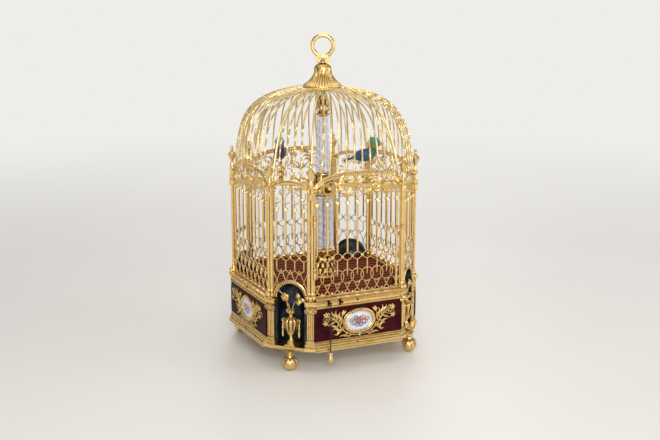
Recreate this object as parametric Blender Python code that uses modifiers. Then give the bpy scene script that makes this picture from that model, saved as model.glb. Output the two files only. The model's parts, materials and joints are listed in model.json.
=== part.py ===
"""Gilt cage automaton: an octagonal bird cage on a clock plinth, with a turning glass fountain
and two singing birds.

The cage is a square of 4 long faces with its corners cut into 4 short ones.  The door is the
long face towards -Y.  Every face is worked out in its own frame, with x along the face, -y
outwards and z up, and is then turned about the cage's axis.  Units are metres, and z is zero
at the underside of the ball feet.
"""

from math import atan2, cos, pi, radians, sin, sqrt

import bmesh
import bpy
from mathutils import Matrix, Vector
from mathutils.geometry import delaunay_2d_cdt

MM = 0.001
GAP = 0.3 * MM

# Plan of the cage: the eight posts stand on a square with cut corners
POST_LINE = 127.0 * MM
LONG_HALF = 79.8 * MM
SHORT_LINE = (POST_LINE + LONG_HALF) / sqrt(2.0)
SHORT_HALF = (POST_LINE - LONG_HALF) / sqrt(2.0)
POST_CIRCLE = sqrt(POST_LINE ** 2 + LONG_HALF ** 2)
CORNER_TURN = atan2(LONG_HALF, POST_LINE)
LONG_FACES = {name: 90 * k for k, name in enumerate(("front", "right", "back", "left"))}
SHORT_CORNERS = ("front_right", "back_right", "back_left", "front_left")
SHORT_FACES = {name: 45 + 90 * k for k, name in enumerate(SHORT_CORNERS)}

# Plinth, from the feet up
FOOT_CLEARANCE = 32.3 * MM
BASE_MOULDING = 16.2 * MM
PANEL_HEIGHT = 52.0 * MM
CORNICE = 16.5 * MM
PANEL_BOTTOM = FOOT_CLEARANCE + BASE_MOULDING
CORNICE_BOTTOM = PANEL_BOTTOM + PANEL_HEIGHT
PLINTH_TOP = CORNICE_BOTTOM + CORNICE
MOULDING_REACH = 11.6 * MM
PANEL_REACH = 7.0 * MM
PANEL_THICK = 2.4 * MM
PANEL_END_GAP = 1.8 * MM
PLINTH_WALL = 11.0 * MM
SHORT_SET_BACK = 4.0 * MM
FLOOR_THICK = 2.5 * MM
FLOOR_DROP = 2.5 * MM
FLOOR_TOP = PLINTH_TOP - FLOOR_DROP
FLOOR_LEDGE = 3.0 * MM

# Pilasters at the plinth's corners
PILASTER_TOP = PLINTH_TOP - 4.2 * MM
PILASTER_CAP_WIDE = 19.0 * MM
PILASTER_BASE_WIDE = 21.0 * MM
PILASTER_SHAFT_WIDE = 12.5 * MM
PILASTER_CAP_TALL = 13.0 * MM
PILASTER_BASE_TALL = 13.0 * MM
PILASTER_REACH = 4.5 * MM
PILASTER_STEP = 1.5 * MM
PILASTER_DEPTH = 14.0 * MM

# Niches in the short faces
NICHE_RADIUS = 22.6 * MM
NICHE_WALL = 1.5 * MM
NICHE_STEPS = 3
NICHE_SPRING = PLINTH_TOP - 1.2 * MM
ARCHIVOLT = 4.4 * MM
SHELF_THICK = 5.4 * MM
SHELF_TOP = FOOT_CLEARANCE + SHELF_THICK

# Grilles
SHEET_THICK = 2.0 * MM
NICHE_LINE = SHORT_LINE - SHEET_THICK / 2 - GAP
LONG_PERIOD = 17.2 * MM
LONG_BARS = 9
SHORT_PERIOD = 14.95 * MM
SHORT_BARS = 4
BAR_WIDE = 2.4 * MM
WIRE_WIDE = 1.6 * MM
RAIL_TALL = 2.0 * MM
BAR_BOTTOM = PLINTH_TOP + 67.1 * MM
HONEYCOMB_TALL = 12.0 * MM
SHORT_BAR_TALL = 15.0 * MM
CIRCLE_TALL = 14.0 * MM
BOSS_HEIGHT = PLINTH_TOP + 147.0 * MM
FORK_TALL = 9.5 * MM

# Arches over the faces
LONG_SPRING = PLINTH_TOP + 140.5 * MM
LONG_RISE = 54.0 * MM
SHORT_SPRING = PLINTH_TOP + 165.0 * MM
SHORT_RISE = 19.1 * MM
STRAP_TALL = 3.4 * MM
STRAP_THICK = 2.6 * MM
LONG_ARCH_STEPS = 10
SHORT_ARCH_STEPS = 6

# Posts and their finials
COLONNETTE = 2.1 * MM
COLONNETTE_OFFSET = 1.8 * MM
POST_HALF = COLONNETTE + COLONNETTE_OFFSET
POST_FOOT = PILASTER_TOP + GAP
POST_BASE_TALL = 14.0 * MM
POST_BASE_RADIUS = 5.2 * MM
POST_TOP = PLINTH_TOP + 174.0 * MM
FINIAL_TALL = 38.0 * MM
FINIAL_RADIUS = 6.6 * MM

# Dome of wires
DOME_SPRING = PLINTH_TOP + 182.0 * MM
DOME_INSET = 8.4 * MM
DOME_RADIUS = POST_CIRCLE - DOME_INSET
DOME_RISE = 129.0 * MM
DOME_POWER = 2.5
DOME_EASE = 0.06
DOME_EASE_POWER = 0.9
DOME_TOP = DOME_SPRING + DOME_RISE
COLLAR_RADIUS = 34.0 * MM
COLLAR_THICK = 4.0 * MM
LONG_WIRES = 10
SHORT_WIRES = 4
WIRE_RADIUS = 1.0 * MM
RIB_RADIUS = 1.8 * MM
WIRE_STEPS = 4
WIRE_BUNCHING = 0.8
WIRE_FOOT = 6.0 * MM
RIB_STEPS = 6
RIB_BUNCHING = 0.85
YOKE_TALL = 7.4 * MM
YOKE_HEIGHT = PLINTH_TOP + 165.8 * MM
YOKE_OUTER = 8.6 * MM

# Crown and hanging ring
CROWN_RADIUS = 31.5 * MM
CROWN_TALL = 36.0 * MM
CROWN_TOP_RADIUS = 10.3 * MM
STIRRUP_WIDE = 21.0 * MM
STIRRUP_DEEP = 8.0 * MM
STIRRUP_TALL = 11.0 * MM
STIRRUP_WALL = 2.2 * MM
SWIVEL_RADIUS = 2.4 * MM
SWIVEL_HEAD = 4.4 * MM
RING_RADIUS = 16.5 * MM
RING_WIRE = 3.25 * MM
RING_YAW = radians(-28)
RING_SIDES = 6
RING_STEPS = 18

# Fountain, from the floor up
ROCK_RADIUS = 26.0 * MM
ROCK_TALL = 46.5 * MM
LOWER_JETS_TALL = 89.0 * MM
LOWER_JETS_RADIUS = 17.6 * MM
BASIN_TALL = 37.0 * MM
BASIN_RADIUS = 24.0 * MM
UPPER_JETS_TALL = 92.0 * MM
UPPER_JETS_RADIUS = 12.4 * MM
UPPER_JETS_TOP = 9.4 * MM
CAPITAL_RADIUS = 9.5 * MM
JET_LOBES = 8
ARBOR_RADIUS = 2.0 * MM

# Beam through the cage
BEAM_HEIGHT = PLINTH_TOP + 151.0 * MM
BEAM_TALL = 8.6 * MM
BEAM_THICK = 3.0 * MM
BEAM_RING = 4.0 * MM
BEAM_TURN = -CORNER_TURN
CLAMP_SIZE = 12.0 * MM
CLAMP_TALL = 12.6 * MM

# Birds
BIRD_STATION = 69.7 * MM
PERCH_TALL = 31.0 * MM
PERCH_RADIUS = 1.6 * MM
CUP_RADIUS = 7.5 * MM
BIRD_LENGTH = 46.0 * MM
BIRD_WIDE = 17.0 * MM
HEAD_RADIUS = 7.2 * MM
BEAK_LENGTH = 6.5 * MM
BEAK_TALL = 2.4 * MM
JAW_DROP = 0.12
TAIL_LENGTH = 22.0 * MM
TAIL_WIDE = 8.0 * MM
TAIL_GAP = 0.9 * MM
BIRD_TURNS = {"left": radians(-28), "right": radians(65)}

# Urns and feet
URN_LINE = SHORT_LINE - 2.0 * MM
URN_BASE = 8.5 * MM
URN_TALL = 60.0 * MM
URN_RADIUS = 10.3 * MM
FOOT_LINE = SHORT_LINE + 4.1 * MM
FOOT_BALL = 10.6 * MM
STEM_RADIUS = 3.0 * MM
HANDLE_REACH = 15.5 * MM
HANDLE_RADIUS = 1.0 * MM
FLOWER_RADIUS = 8.5 * MM
FLOWER_LIFT = 24.0 * MM
STALK_RADIUS = 0.9 * MM

# Medallions
MEDALLION_WIDE = 57.0 * MM
MEDALLION_TALL = 41.6 * MM
MEDALLION_FRAME = 4.6 * MM
MEDALLION_THICK = 3.2 * MM
PLAQUE_THICK = 1.6 * MM

# Clock under the plinth
DIAL_RADIUS = 104.0 * MM
DIAL_THICK = 1.6 * MM
BEZEL_WALL = 4.0 * MM
BEZEL_TALL = 5.0 * MM
HAND_THICK = 1.0 * MM
HAND_DROP = 1.2 * MM
DIAL_LOW = FOOT_CLEARANCE + 2 * HAND_THICK + HAND_DROP
DIAL_TOP = DIAL_LOW + DIAL_THICK
HOUR_HAND = 58.0 * MM
MINUTE_HAND = 88.0 * MM
HAND_HUB = 5.0 * MM
HAND_ARBOR = 1.5 * MM
ARBOR_ABOVE_DIAL = 4.0 * MM
HAND_TURNS = {"hour": radians(-70), "minute": radians(52)}

# Movement in the plinth
MOVEMENT_RADIUS = 58.0 * MM
MOVEMENT_PLATE = 2.5 * MM
MOVEMENT_TALL = 46.0 * MM
DIAL_TO_PLATE = 5.0 * MM
PILLAR_RADIUS = 3.5 * MM
BARREL_RADIUS = 24.0 * MM
BARREL_TALL = 26.0 * MM
BARREL_STATION = 28.0 * MM
FLY_RADIUS = 12.0 * MM
FLY_STATION = -34.0 * MM
PIVOT_RADIUS = 1.5 * MM
BELLOWS_LONG = 44.0 * MM
BELLOWS_WIDE = 26.0 * MM
BELLOWS_BOARD = 2.5 * MM
BELLOWS_OPEN = 9.0 * MM
BELLOWS_STATION = 26.0 * MM

# Door furniture
HINGE_ROD = 0.9 * MM
KNUCKLE = 2.1 * MM
KNUCKLE_TALL = 6.0 * MM
HINGE_HEIGHTS = (PLINTH_TOP + 40.0 * MM, PLINTH_TOP + 122.0 * MM)
LATCH_HEIGHT = PLINTH_TOP + 100.0 * MM
LATCH_THICK = 2.4 * MM
LATCH_LENGTH = 24.6 * MM
LATCH_TIP = 0.7 * MM
LATCH_THROW = 5.5 * MM
LATCH_KNOB_STATION = 6.8 * MM
LATCH_KNOB = 2.4 * MM
STAPLE_WALL = 1.4 * MM
STILE_WIDE = 3.6 * MM

# Pull cord, its lever and the second lever
LEVER_STATIONS = {"song": -52.8 * MM, "repeat": -33.1 * MM}
SLOT_WIDE = 3.4 * MM
SLOT_TALL = 7.6 * MM
SLOT_HEIGHT = PLINTH_TOP - 8.6 * MM
LEVER_RADIUS = 1.3 * MM
LEVER_LENGTH = 34.0 * MM
LEVER_REACH = 3.4 * MM
CORD_RADIUS = 0.95 * MM
CORD_BOTTOM = 31.6 * MM
CORD_STRAIGHT = 8.0 * MM
CORD_SWAY = 0.4 * MM
CORD_STEPS = 9
PULL_RADIUS = 3.4 * MM
PULL_TALL = 15.5 * MM

COLOURS = {
    "gilt": ((0.83, 0.55, 0.17, 1.0), 0.28, 1.0),
    "gilt_shade": ((0.62, 0.36, 0.10, 1.0), 0.38, 1.0),
    "steel": ((0.35, 0.36, 0.38, 1.0), 0.35, 1.0),
    "maroon_enamel": ((0.045, 0.008, 0.012, 1.0), 0.25, 0.0),
    "niche_blue": ((0.012, 0.022, 0.042, 1.0), 0.45, 0.0),
    "porcelain": ((0.80, 0.78, 0.84, 1.0), 0.15, 0.0),
    "floor_red": ((0.09, 0.018, 0.012, 1.0), 0.35, 0.0),
    "glass": ((0.80, 0.82, 0.88, 1.0), 0.08, 0.0),
    "indigo_feather": ((0.035, 0.025, 0.20, 1.0), 0.55, 0.0),
    "teal_feather": ((0.02, 0.22, 0.20, 1.0), 0.55, 0.0),
    "beak_coral": ((0.70, 0.22, 0.16, 1.0), 0.40, 0.0),
    "bellows_leather": ((0.32, 0.20, 0.11, 1.0), 0.65, 0.0),
    "silk_green": ((0.012, 0.035, 0.018, 1.0), 0.70, 0.0),
}


def clear_scene():
    """Remove what the file starts with."""
    for thing in list(bpy.data.objects):
        bpy.data.objects.remove(thing, do_unlink=True)


def collection(name):
    """A new collection in the scene."""
    group = bpy.data.collections.new(name)
    bpy.context.scene.collection.children.link(group)
    return group


def finish_material(name):
    """The Principled material of a named finish, made once."""
    found = bpy.data.materials.get(name)
    if found:
        return found
    colour, roughness, metallic = COLOURS[name]
    made = bpy.data.materials.new(name)
    made.use_nodes = True
    shader = made.node_tree.nodes["Principled BSDF"]
    shader.inputs["Base Color"].default_value = colour
    shader.inputs["Roughness"].default_value = roughness
    shader.inputs["Metallic"].default_value = metallic
    made.diffuse_color = colour
    return made


def add_object(name, mesh, group):
    """An object that shows a mesh, in a collection."""
    thing = bpy.data.objects.new(name, mesh)
    group.objects.link(thing)
    return thing


def mesh_from(name, bm):
    """Turn a bmesh into mesh data."""
    bmesh.ops.recalc_face_normals(bm, faces=bm.faces)
    mesh = bpy.data.meshes.new(name)
    bm.to_mesh(mesh)
    bm.free()
    return mesh


def settle(thing):
    """Apply an object's modifiers and its place, so that it is a plain mesh at the origin."""
    bpy.context.view_layer.update()
    evaluated = thing.evaluated_get(bpy.context.evaluated_depsgraph_get())
    mesh = bpy.data.meshes.new_from_object(evaluated)
    bm = bmesh.new()
    bm.from_mesh(mesh)
    bmesh.ops.remove_doubles(bm, verts=bm.verts, dist=1e-6)
    bm.transform(thing.matrix_world)
    bm.to_mesh(mesh)
    bm.free()
    made = add_object(thing.name + "_solid", mesh, thing.users_collection[0])
    name = thing.name
    bpy.data.objects.remove(thing, do_unlink=True)
    made.name = name
    return made


def combine(base, others, operation="UNION"):
    """Join solids to a solid, or cut them from it, and use the others up."""
    for other in others:
        step = base.modifiers.new("step", "BOOLEAN")
        step.operation = operation
        step.object = other
        base = settle(base)
        bpy.data.objects.remove(other, do_unlink=True)
    return base


def cut(base, cutters):
    """Cut solids from a solid."""
    return combine(base, cutters, "DIFFERENCE")


def turn(thing, degrees):
    """Turn a settled solid about the cage's axis."""
    thing.data.transform(Matrix.Rotation(radians(degrees), 4, "Z"))
    return thing


def box(name, low, high):
    """A block between two corners."""
    bm = bmesh.new()
    bmesh.ops.create_cube(bm, size=1.0)
    size = [b - a for a, b in zip(low, high)]
    middle = [(a + b) / 2 for a, b in zip(low, high)]
    bmesh.ops.scale(bm, vec=size, verts=bm.verts)
    bmesh.ops.translate(bm, vec=middle, verts=bm.verts)
    return add_object(name, mesh_from(name, bm), WORK)


def cylinder(name, radius, bottom, top, x=0.0, y=0.0, sides=12):
    """An upright cylinder."""
    bm = bmesh.new()
    bmesh.ops.create_cone(bm, cap_ends=True, segments=sides, radius1=radius, radius2=radius,
                          depth=top - bottom)
    bmesh.ops.translate(bm, vec=(x, y, (top + bottom) / 2), verts=bm.verts)
    return add_object(name, mesh_from(name, bm), WORK)


def turned(name, profile, sides, x=0.0, y=0.0, angle=2 * pi):
    """A turned surface from (radius, height) points, listed from the top down."""
    bm = bmesh.new()
    verts = [bm.verts.new((r, 0.0, z)) for r, z in profile]
    for a, b in zip(verts, verts[1:]):
        bm.edges.new((a, b))
    mesh = bpy.data.meshes.new(name)
    bm.to_mesh(mesh)
    bm.free()
    thing = add_object(name, mesh, WORK)
    screw = thing.modifiers.new("turn", "SCREW")
    screw.angle = angle
    screw.steps = sides
    screw.render_steps = sides
    screw.use_merge_vertices = True
    screw.merge_threshold = 1e-6
    screw.use_normal_calculate = True
    thing.location = (x, y, 0.0)
    thing = settle(thing)
    bm = bmesh.new()
    bm.from_mesh(thing.data)
    bmesh.ops.dissolve_degenerate(bm, dist=1e-7, edges=bm.edges)
    bmesh.ops.recalc_face_normals(bm, faces=bm.faces)
    bm.to_mesh(thing.data)
    bm.free()
    return thing


def lofted(name, loops, ring=False):
    """A skin over loops of equal length: capped at its two ends, or closed as a ring."""
    bm = bmesh.new()
    rows = [[bm.verts.new(p) for p in loop] for loop in loops]
    count = len(rows[0])
    last = len(rows) if ring else len(rows) - 1
    for k in range(last):
        low, high = rows[k], rows[(k + 1) % len(rows)]
        for i in range(count):
            j = (i + 1) % count
            bm.faces.new((low[i], low[j], high[j], high[i]))
    if not ring:
        bm.faces.new(rows[0])
        bm.faces.new(rows[-1])
    return add_object(name, mesh_from(name, bm), WORK)


def wire(name, points, radius, resolution=0):
    """A round wire through points, as a mesh with closed ends."""
    curve = bpy.data.curves.new(name, "CURVE")
    curve.dimensions = "3D"
    curve.bevel_depth = radius
    curve.bevel_resolution = resolution
    curve.use_fill_caps = True
    curve.render_resolution_u = 0
    spline = curve.splines.new("POLY")
    spline.points.add(len(points) - 1)
    for point, place in zip(spline.points, points):
        point.co = (*place, 1.0)
    thing = add_object(name, curve, WORK)
    return settle(thing)


def joined(name, things):
    """Solids that don't meet, carried in one object until a union joins them."""
    bm = bmesh.new()
    for thing in things:
        bm.from_mesh(thing.data)
        bpy.data.objects.remove(thing, do_unlink=True)
    mesh = bpy.data.meshes.new(name)
    bm.to_mesh(mesh)
    bm.free()
    return add_object(name, mesh, WORK)


def deliver(thing, name, finish, pivot=(0.0, 0.0, 0.0)):
    """Hand a solid to the model: its name, its finish and its origin, on its joint's axis."""
    place = Vector(pivot)
    thing.data.transform(Matrix.Translation(-place))
    made = add_object(name, thing.data, MODEL)
    bpy.data.objects.remove(thing, do_unlink=True)
    made.name = name
    made.location = place
    made.parent = STAND
    made.data.name = name
    made.data.materials.clear()
    made.data.materials.append(finish_material(finish))
    made.data.shade_smooth()
    made.data.set_sharp_from_angle(angle=radians(35))
    return made


# Flat work: a sheet is the union of strokes in a face's x and z


def stroke(points, width, closed=False):
    """Quads of a line of a given width through (x, z) points, with mitred corners."""
    path = [Vector(p) for p in points]
    count = len(path)
    sides = []
    for i, here in enumerate(path):
        before = path[i - 1] if (i or closed) else None
        after = path[(i + 1) % count] if (i < count - 1 or closed) else None
        directions = []
        if before is not None:
            directions.append((here - before).normalized())
        if after is not None:
            directions.append((after - here).normalized())
        along = sum(directions, Vector((0.0, 0.0))).normalized()
        across = Vector((-along.y, along.x))
        mitre = max(0.4, abs(across.dot(Vector((-directions[0].y, directions[0].x)))))
        offset = across * (width / 2 / mitre)
        sides.append((here + offset, here - offset))
    quads = []
    for i in range(count if closed else count - 1):
        a, b = sides[i], sides[(i + 1) % count]
        quads.append((a[0], b[0], b[1], a[1]))
    return quads


def arc(x, z, radius, start, end, steps):
    """Points of an arc, in degrees from +x towards +z."""
    turns = [radians(start + (end - start) * k / steps) for k in range(steps + 1)]
    return [(x + radius * cos(t), z + radius * sin(t)) for t in turns]


def lozenge(x, z, half_wide, half_tall):
    """A four-cornered boss."""
    return [(x - half_wide, z), (x, z - half_tall), (x + half_wide, z), (x, z + half_tall)]


def block(x_low, x_high, z_low, z_high):
    """A rectangle."""
    return [(x_low, z_low), (x_high, z_low), (x_high, z_high), (x_low, z_high)]


def anticlockwise(shape):
    """A shape's points in anticlockwise order."""
    area = sum(a[0] * b[1] - b[0] * a[1] for a, b in zip(shape, list(shape[1:]) + [shape[0]]))
    return list(shape) if area > 0 else list(shape)[::-1]


def sheet(name, strokes, line, thickness=SHEET_THICK, inside=None, without=()):
    """A pierced sheet: the union of flat shapes, kept inside one outline and out of others."""
    shapes = list(strokes)
    limits = ([inside] if inside else []) + list(without)
    points, faces = [], []
    for shape in shapes + limits:
        first = len(points)
        points.extend(Vector(p) for p in anticlockwise(shape))
        faces.append(list(range(first, first + len(shape))))
    verts, _, cells, _, _, owners = delaunay_2d_cdt(points, [], faces, 1, 2e-6)
    inner = {len(shapes)} if inside else set()
    outer = set(range(len(shapes) + len(inner), len(shapes) + len(limits)))
    bm = bmesh.new()
    placed = [bm.verts.new((v.x, 0.0, v.y)) for v in verts]
    for cell, owner in zip(cells, owners):
        owner = set(owner)
        if owner & outer or not inner <= owner or not owner - inner:
            continue
        bm.faces.new([placed[i] for i in cell])
    loose = [v for v in bm.verts if not v.link_faces]
    bmesh.ops.delete(bm, geom=loose, context="VERTS")
    bmesh.ops.dissolve_limit(bm, angle_limit=radians(1.5), verts=bm.verts, edges=bm.edges)
    thing = add_object(name, mesh_from(name, bm), WORK)
    thing.location.y = -line
    wall = thing.modifiers.new("wall", "SOLIDIFY")
    wall.thickness = thickness
    wall.offset = 0.0
    return settle(thing)


def long_arch(x):
    """Height of a long face's arch, top of its strap."""
    share = min(1.0, abs(x) / LONG_HALF)
    return LONG_SPRING + LONG_RISE * (1 - share ** 3) ** (1 / 3)


def short_arch(x):
    """Height of a short face's arch, top of its strap."""
    share = min(1.0, abs(x) / SHORT_HALF)
    return SHORT_SPRING + SHORT_RISE * sqrt(1 - share ** 2)


def arch_points(height, half, drop, steps):
    """Points under an arch, lowered by a drop, closer together near the springing."""
    turns = [pi * (k / steps - 0.5) for k in range(steps + 1)]
    return [(half * sin(t), height(half * sin(t)) - drop) for t in turns]


def arch_edge(height, half, drop, steps):
    """The part of an arch's edge between its two yokes."""
    end = half - YOKE_OUTER - GAP
    inner = [p for p in arch_points(height, half, drop, steps) if abs(p[0]) < end - 1 * MM]
    return [(-end, height(end) - drop)] + inner + [(end, height(end) - drop)]


def sheet_top(height, half, end, steps):
    """A sheet's top edge under the strap, stepped down at the yokes, and the band along it."""
    drop = STRAP_TALL + 2 * GAP
    shoulder = half - YOKE_OUTER - GAP
    low = YOKE_HEIGHT - 2 * GAP
    edge = arch_edge(height, half, drop, steps)
    under = arch_edge(height, half, drop + 2 * WIRE_WIDE, steps)
    outline = [(-end, low), (-shoulder, low)] + edge + [(shoulder, low), (end, low)]
    return outline, edge + under[::-1]


def strap(height, half, line, steps):
    """The band over a face, which the wires of the dome stand on."""
    end = half - POST_HALF - GAP
    edges = []
    for drop in (0.0, STRAP_TALL):
        ends = [(side * end, height(end) - drop) for side in (-1, 1)]
        edges.append([ends[0]] + arch_edge(height, half, drop, steps) + [ends[1]])
    return sheet("strap", [edges[0] + edges[1][::-1]], line, STRAP_THICK)


def zigzag(positions, period, between, at):
    """A line that runs from height to height: one between the bars, the other at them."""
    points = [(positions[0] - period / 2, between)]
    for x in positions:
        points += [(x, at), (x + period / 2, between)]
    return stroke(points, WIRE_WIDE)


def lower_work(positions, period):
    """The pierced band under the bars: honeycomb, short bars and linked drops on the rail."""
    node = BAR_BOTTOM - HONEYCOMB_TALL / 2
    comb = BAR_BOTTOM - HONEYCOMB_TALL
    top = comb - SHORT_BAR_TALL
    low = top - CIRCLE_TALL
    foot = PLINTH_TOP + GAP + RAIL_TALL / 2
    shapes = zigzag(positions, period, node, BAR_BOTTOM) + zigzag(positions, period, node, comb)
    shapes += zigzag(positions, period, low, top) + zigzag(positions, period, low, foot)
    shapes += [block(x - WIRE_WIDE / 2, x + WIRE_WIDE / 2, top, comb) for x in positions]
    return shapes


def bars(positions):
    """The upright bars, and the flat band that links their heads."""
    fork = BOSS_HEIGHT + FORK_TALL - WIRE_WIDE
    shapes = [block(x - BAR_WIDE / 2, x + BAR_WIDE / 2, BAR_BOTTOM, fork) for x in positions]
    shapes += stroke([(positions[0], fork), (positions[-1], fork)], WIRE_WIDE * 1.2)
    return shapes


def long_scrolls():
    """The two great circles between the heads of the bars and the arch, and two lesser ones."""
    fork = BOSS_HEIGHT + FORK_TALL - WIRE_WIDE
    shapes = []
    for side in (-1, 1):
        for station, share, count in ((1, 1.0, 9), (3, 0.8, 7)):
            radius = LONG_PERIOD * share
            ring = arc(side * station * LONG_PERIOD, fork + radius, radius, 90, 450 - 360 / count,
                       count - 1)
            shapes += stroke(ring, WIRE_WIDE, closed=True)
    return shapes


def long_sheet(name, stile=False):
    """The pierced sheet of a long face, up to the dome's strap."""
    positions = [LONG_PERIOD * (k - (LONG_BARS - 1) / 2) for k in range(LONG_BARS)]
    beyond = [positions[0] - LONG_PERIOD] + positions + [positions[-1] + LONG_PERIOD]
    end = LONG_HALF - POST_HALF - GAP
    low = PLINTH_TOP + GAP
    shapes = lower_work(beyond, LONG_PERIOD) + bars(positions) + long_scrolls()
    shapes.append(block(-end, end, low, low + RAIL_TALL))
    inside, band = sheet_top(long_arch, LONG_HALF, end, LONG_ARCH_STEPS)
    shapes.append(band)
    if stile:
        x = positions[-1]
        shapes.append(block(x - STILE_WIDE / 2, x + STILE_WIDE / 2, low, long_arch(x)))
        x = -end + STILE_WIDE / 4
        shapes.append(block(x - STILE_WIDE / 2, x + STILE_WIDE / 2, low, long_arch(x)))
    return sheet(name, shapes, POST_LINE, inside=[(-end, low)] + inside + [(end, low)])


def short_sheet(name):
    """The pierced sheet of a short face, with the arch of its niche."""
    positions = [SHORT_PERIOD * (k - (SHORT_BARS - 1) / 2) for k in range(SHORT_BARS)]
    beyond = [positions[0] - SHORT_PERIOD] + positions + [positions[-1] + SHORT_PERIOD]
    end = SHORT_HALF - COLONNETTE_OFFSET
    node = BAR_BOTTOM - HONEYCOMB_TALL / 2
    comb = BAR_BOTTOM - HONEYCOMB_TALL
    shapes = bars(positions)
    shapes += zigzag(beyond, SHORT_PERIOD, node, BAR_BOTTOM) + zigzag(beyond, SHORT_PERIOD, node, comb)
    for x in positions:
        arch_top = NICHE_SPRING + sqrt((NICHE_RADIUS + ARCHIVOLT / 2) ** 2 - x ** 2)
        shapes.append(block(x - WIRE_WIDE / 2, x + WIRE_WIDE / 2, arch_top, comb))
        shapes.append(block(x - WIRE_WIDE / 2, x + WIRE_WIDE / 2, BOSS_HEIGHT, short_arch(x)))
    inside, band = sheet_top(short_arch, SHORT_HALF, end, SHORT_ARCH_STEPS)
    shapes.append(band)
    middle = NICHE_RADIUS + ARCHIVOLT / 2
    legs = POST_FOOT + GAP
    arch = [(middle, legs)] + arc(0, NICHE_SPRING, middle, 0, 180, 8) + [(-middle, legs)]
    shapes += stroke(arch, ARCHIVOLT)
    hole = [(NICHE_RADIUS, legs - ARCHIVOLT)] + arc(0, NICHE_SPRING, NICHE_RADIUS, 0, 180, 8)
    hole.append((-NICHE_RADIUS, legs - ARCHIVOLT))
    inside = [(-end, legs)] + inside + [(end, legs)]
    tie = NICHE_SPRING + NICHE_RADIUS / 2
    for side in (-1, 1):
        shapes += stroke([(side * (NICHE_RADIUS + ARCHIVOLT / 2), tie), (side * end, tie)], WIRE_WIDE)
    return sheet(name, shapes, SHORT_LINE, inside=inside, without=[hole])


def post_places():
    """The angle about the axis of each post, in degrees from -Y, in order round the cage."""
    corner = CORNER_TURN * 180 / pi
    places = []
    for face in sorted(LONG_FACES.values()):
        places += [face - corner, face + corner]
    return places


def post(name, degrees):
    """A twin colonnette with its beaded base and its urn finial, at an angle from -Y."""
    waist = atan2(sqrt(COLONNETTE ** 2 - COLONNETTE_OFFSET ** 2), COLONNETTE_OFFSET) * 180 / pi
    outline = arc(COLONNETTE_OFFSET, 0, COLONNETTE, waist - 180, 180 - waist, 4)
    outline += [(-x, -y) for x, y in outline]
    loops = [[(x, y - POST_CIRCLE, z) for x, y in outline]
             for z in (POST_FOOT + POST_BASE_TALL / 2, POST_TOP + 2 * MM)]
    shaft = lofted(name, loops)
    r, base, tall = POST_BASE_RADIUS, POST_FOOT, POST_BASE_TALL
    beads = turned(name + "_beads", [
        (0, base + tall), (r * 0.75, base + tall * 0.8), (r * 0.7, base + tall * 0.3),
        (r, base + tall * 0.14), (r * 0.8, base), (0, base)], 6, y=-POST_CIRCLE)
    r, base, tall = FINIAL_RADIUS, POST_TOP, FINIAL_TALL
    finial = turned(name + "_finial", [
        (0, base + tall), (r * 0.3, base + tall * 0.86), (r * 0.9, base + tall * 0.6),
        (r, base + tall * 0.5), (r * 0.4, base + tall * 0.22), (r * 0.6, base + tall * 0.1),
        (r * 0.6, base), (0, base)], 6, y=-POST_CIRCLE)
    made = combine(shaft, [beads, finial])
    return turn(made, degrees)


def corner_bay(where, degrees):
    """Two posts and the short face between them."""
    name = "bay_" + where
    half = 45 - CORNER_TURN * 180 / pi
    grille = turn(short_sheet(name), degrees)
    posts = [post(name + "_post", degrees + side * half) for side in (-1, 1)]
    made = combine(grille, posts)
    if where == "front_left":
        made = combine(made, hinge_eyes())
    if where == "front_right":
        keeper, mortise = latch_keeper()
        made = cut(combine(made, [keeper]), [mortise])
    return deliver(made, "corner_bay_" + where, "gilt")


# Door, its hinge and its bolt


def hinge_axis():
    """Plan place of the door's hinge, in front of the sheet and inside of the post."""
    x = -LONG_HALF + POST_HALF + KNUCKLE / 2 + GAP
    y = -POST_LINE - SHEET_THICK / 2 - KNUCKLE - 2 * GAP
    return x, y


def hinge_eyes():
    """The eyes on the post, one under each knuckle of the door."""
    x, y = hinge_axis()
    eyes = []
    for height in HINGE_HEIGHTS:
        high = height - KNUCKLE_TALL / 2 - GAP
        low = high - KNUCKLE_TALL / 2
        eye = cylinder("eye", KNUCKLE, low, high, x, y, 8)
        back = -POST_LINE - SHEET_THICK / 2 - GAP
        arm = box("arm", (-LONG_HALF - COLONNETTE / 2, y - KNUCKLE / 2, low), (x, back, high))
        bore = cylinder("bore", HINGE_ROD + GAP, low - GAP, high + GAP, x, y, 8)
        eyes.append(cut(combine(arm, [eye]), [bore]))
    return eyes


def door():
    """The door: a long sheet with stiles, the knuckles of its hinge and the bolt's staples."""
    made = long_sheet("door", stile=True)
    x, y = hinge_axis()
    bores = []
    for height in HINGE_HEIGHTS:
        low, high = height - KNUCKLE_TALL / 2, height + KNUCKLE_TALL / 2
        knuckle = cylinder("knuckle", KNUCKLE, low, high, x, y, 8)
        leaf = box("leaf", (x, y, low), (x + STILE_WIDE, -POST_LINE, high))
        made = combine(made, [combine(leaf, [knuckle])])
        bores.append(cylinder("bore", HINGE_ROD + GAP, low - GAP, high + GAP, x, y, 8))
    made = cut(made, bores)
    front = -POST_LINE - SHEET_THICK / 2
    half = LATCH_THICK / 2 + GAP
    for x in (LONG_PERIOD * 3, LONG_PERIOD * 4):
        wide = STILE_WIDE / 2 - 2 * GAP
        outer = box("staple", (x - wide, front - 2 * half - STAPLE_WALL, LATCH_HEIGHT - half - STAPLE_WALL),
                    (x + wide, front + SHEET_THICK / 2, LATCH_HEIGHT + half + STAPLE_WALL))
        inner = box("gap", (x - STILE_WIDE, front - 2 * half, LATCH_HEIGHT - half),
                    (x + STILE_WIDE, front - GAP / 2, LATCH_HEIGHT + half))
        made = combine(made, [cut(outer, [inner])])
    pivot = (*hinge_axis(), LATCH_HEIGHT)
    return deliver(made, "door_grille", "gilt", pivot)


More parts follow.
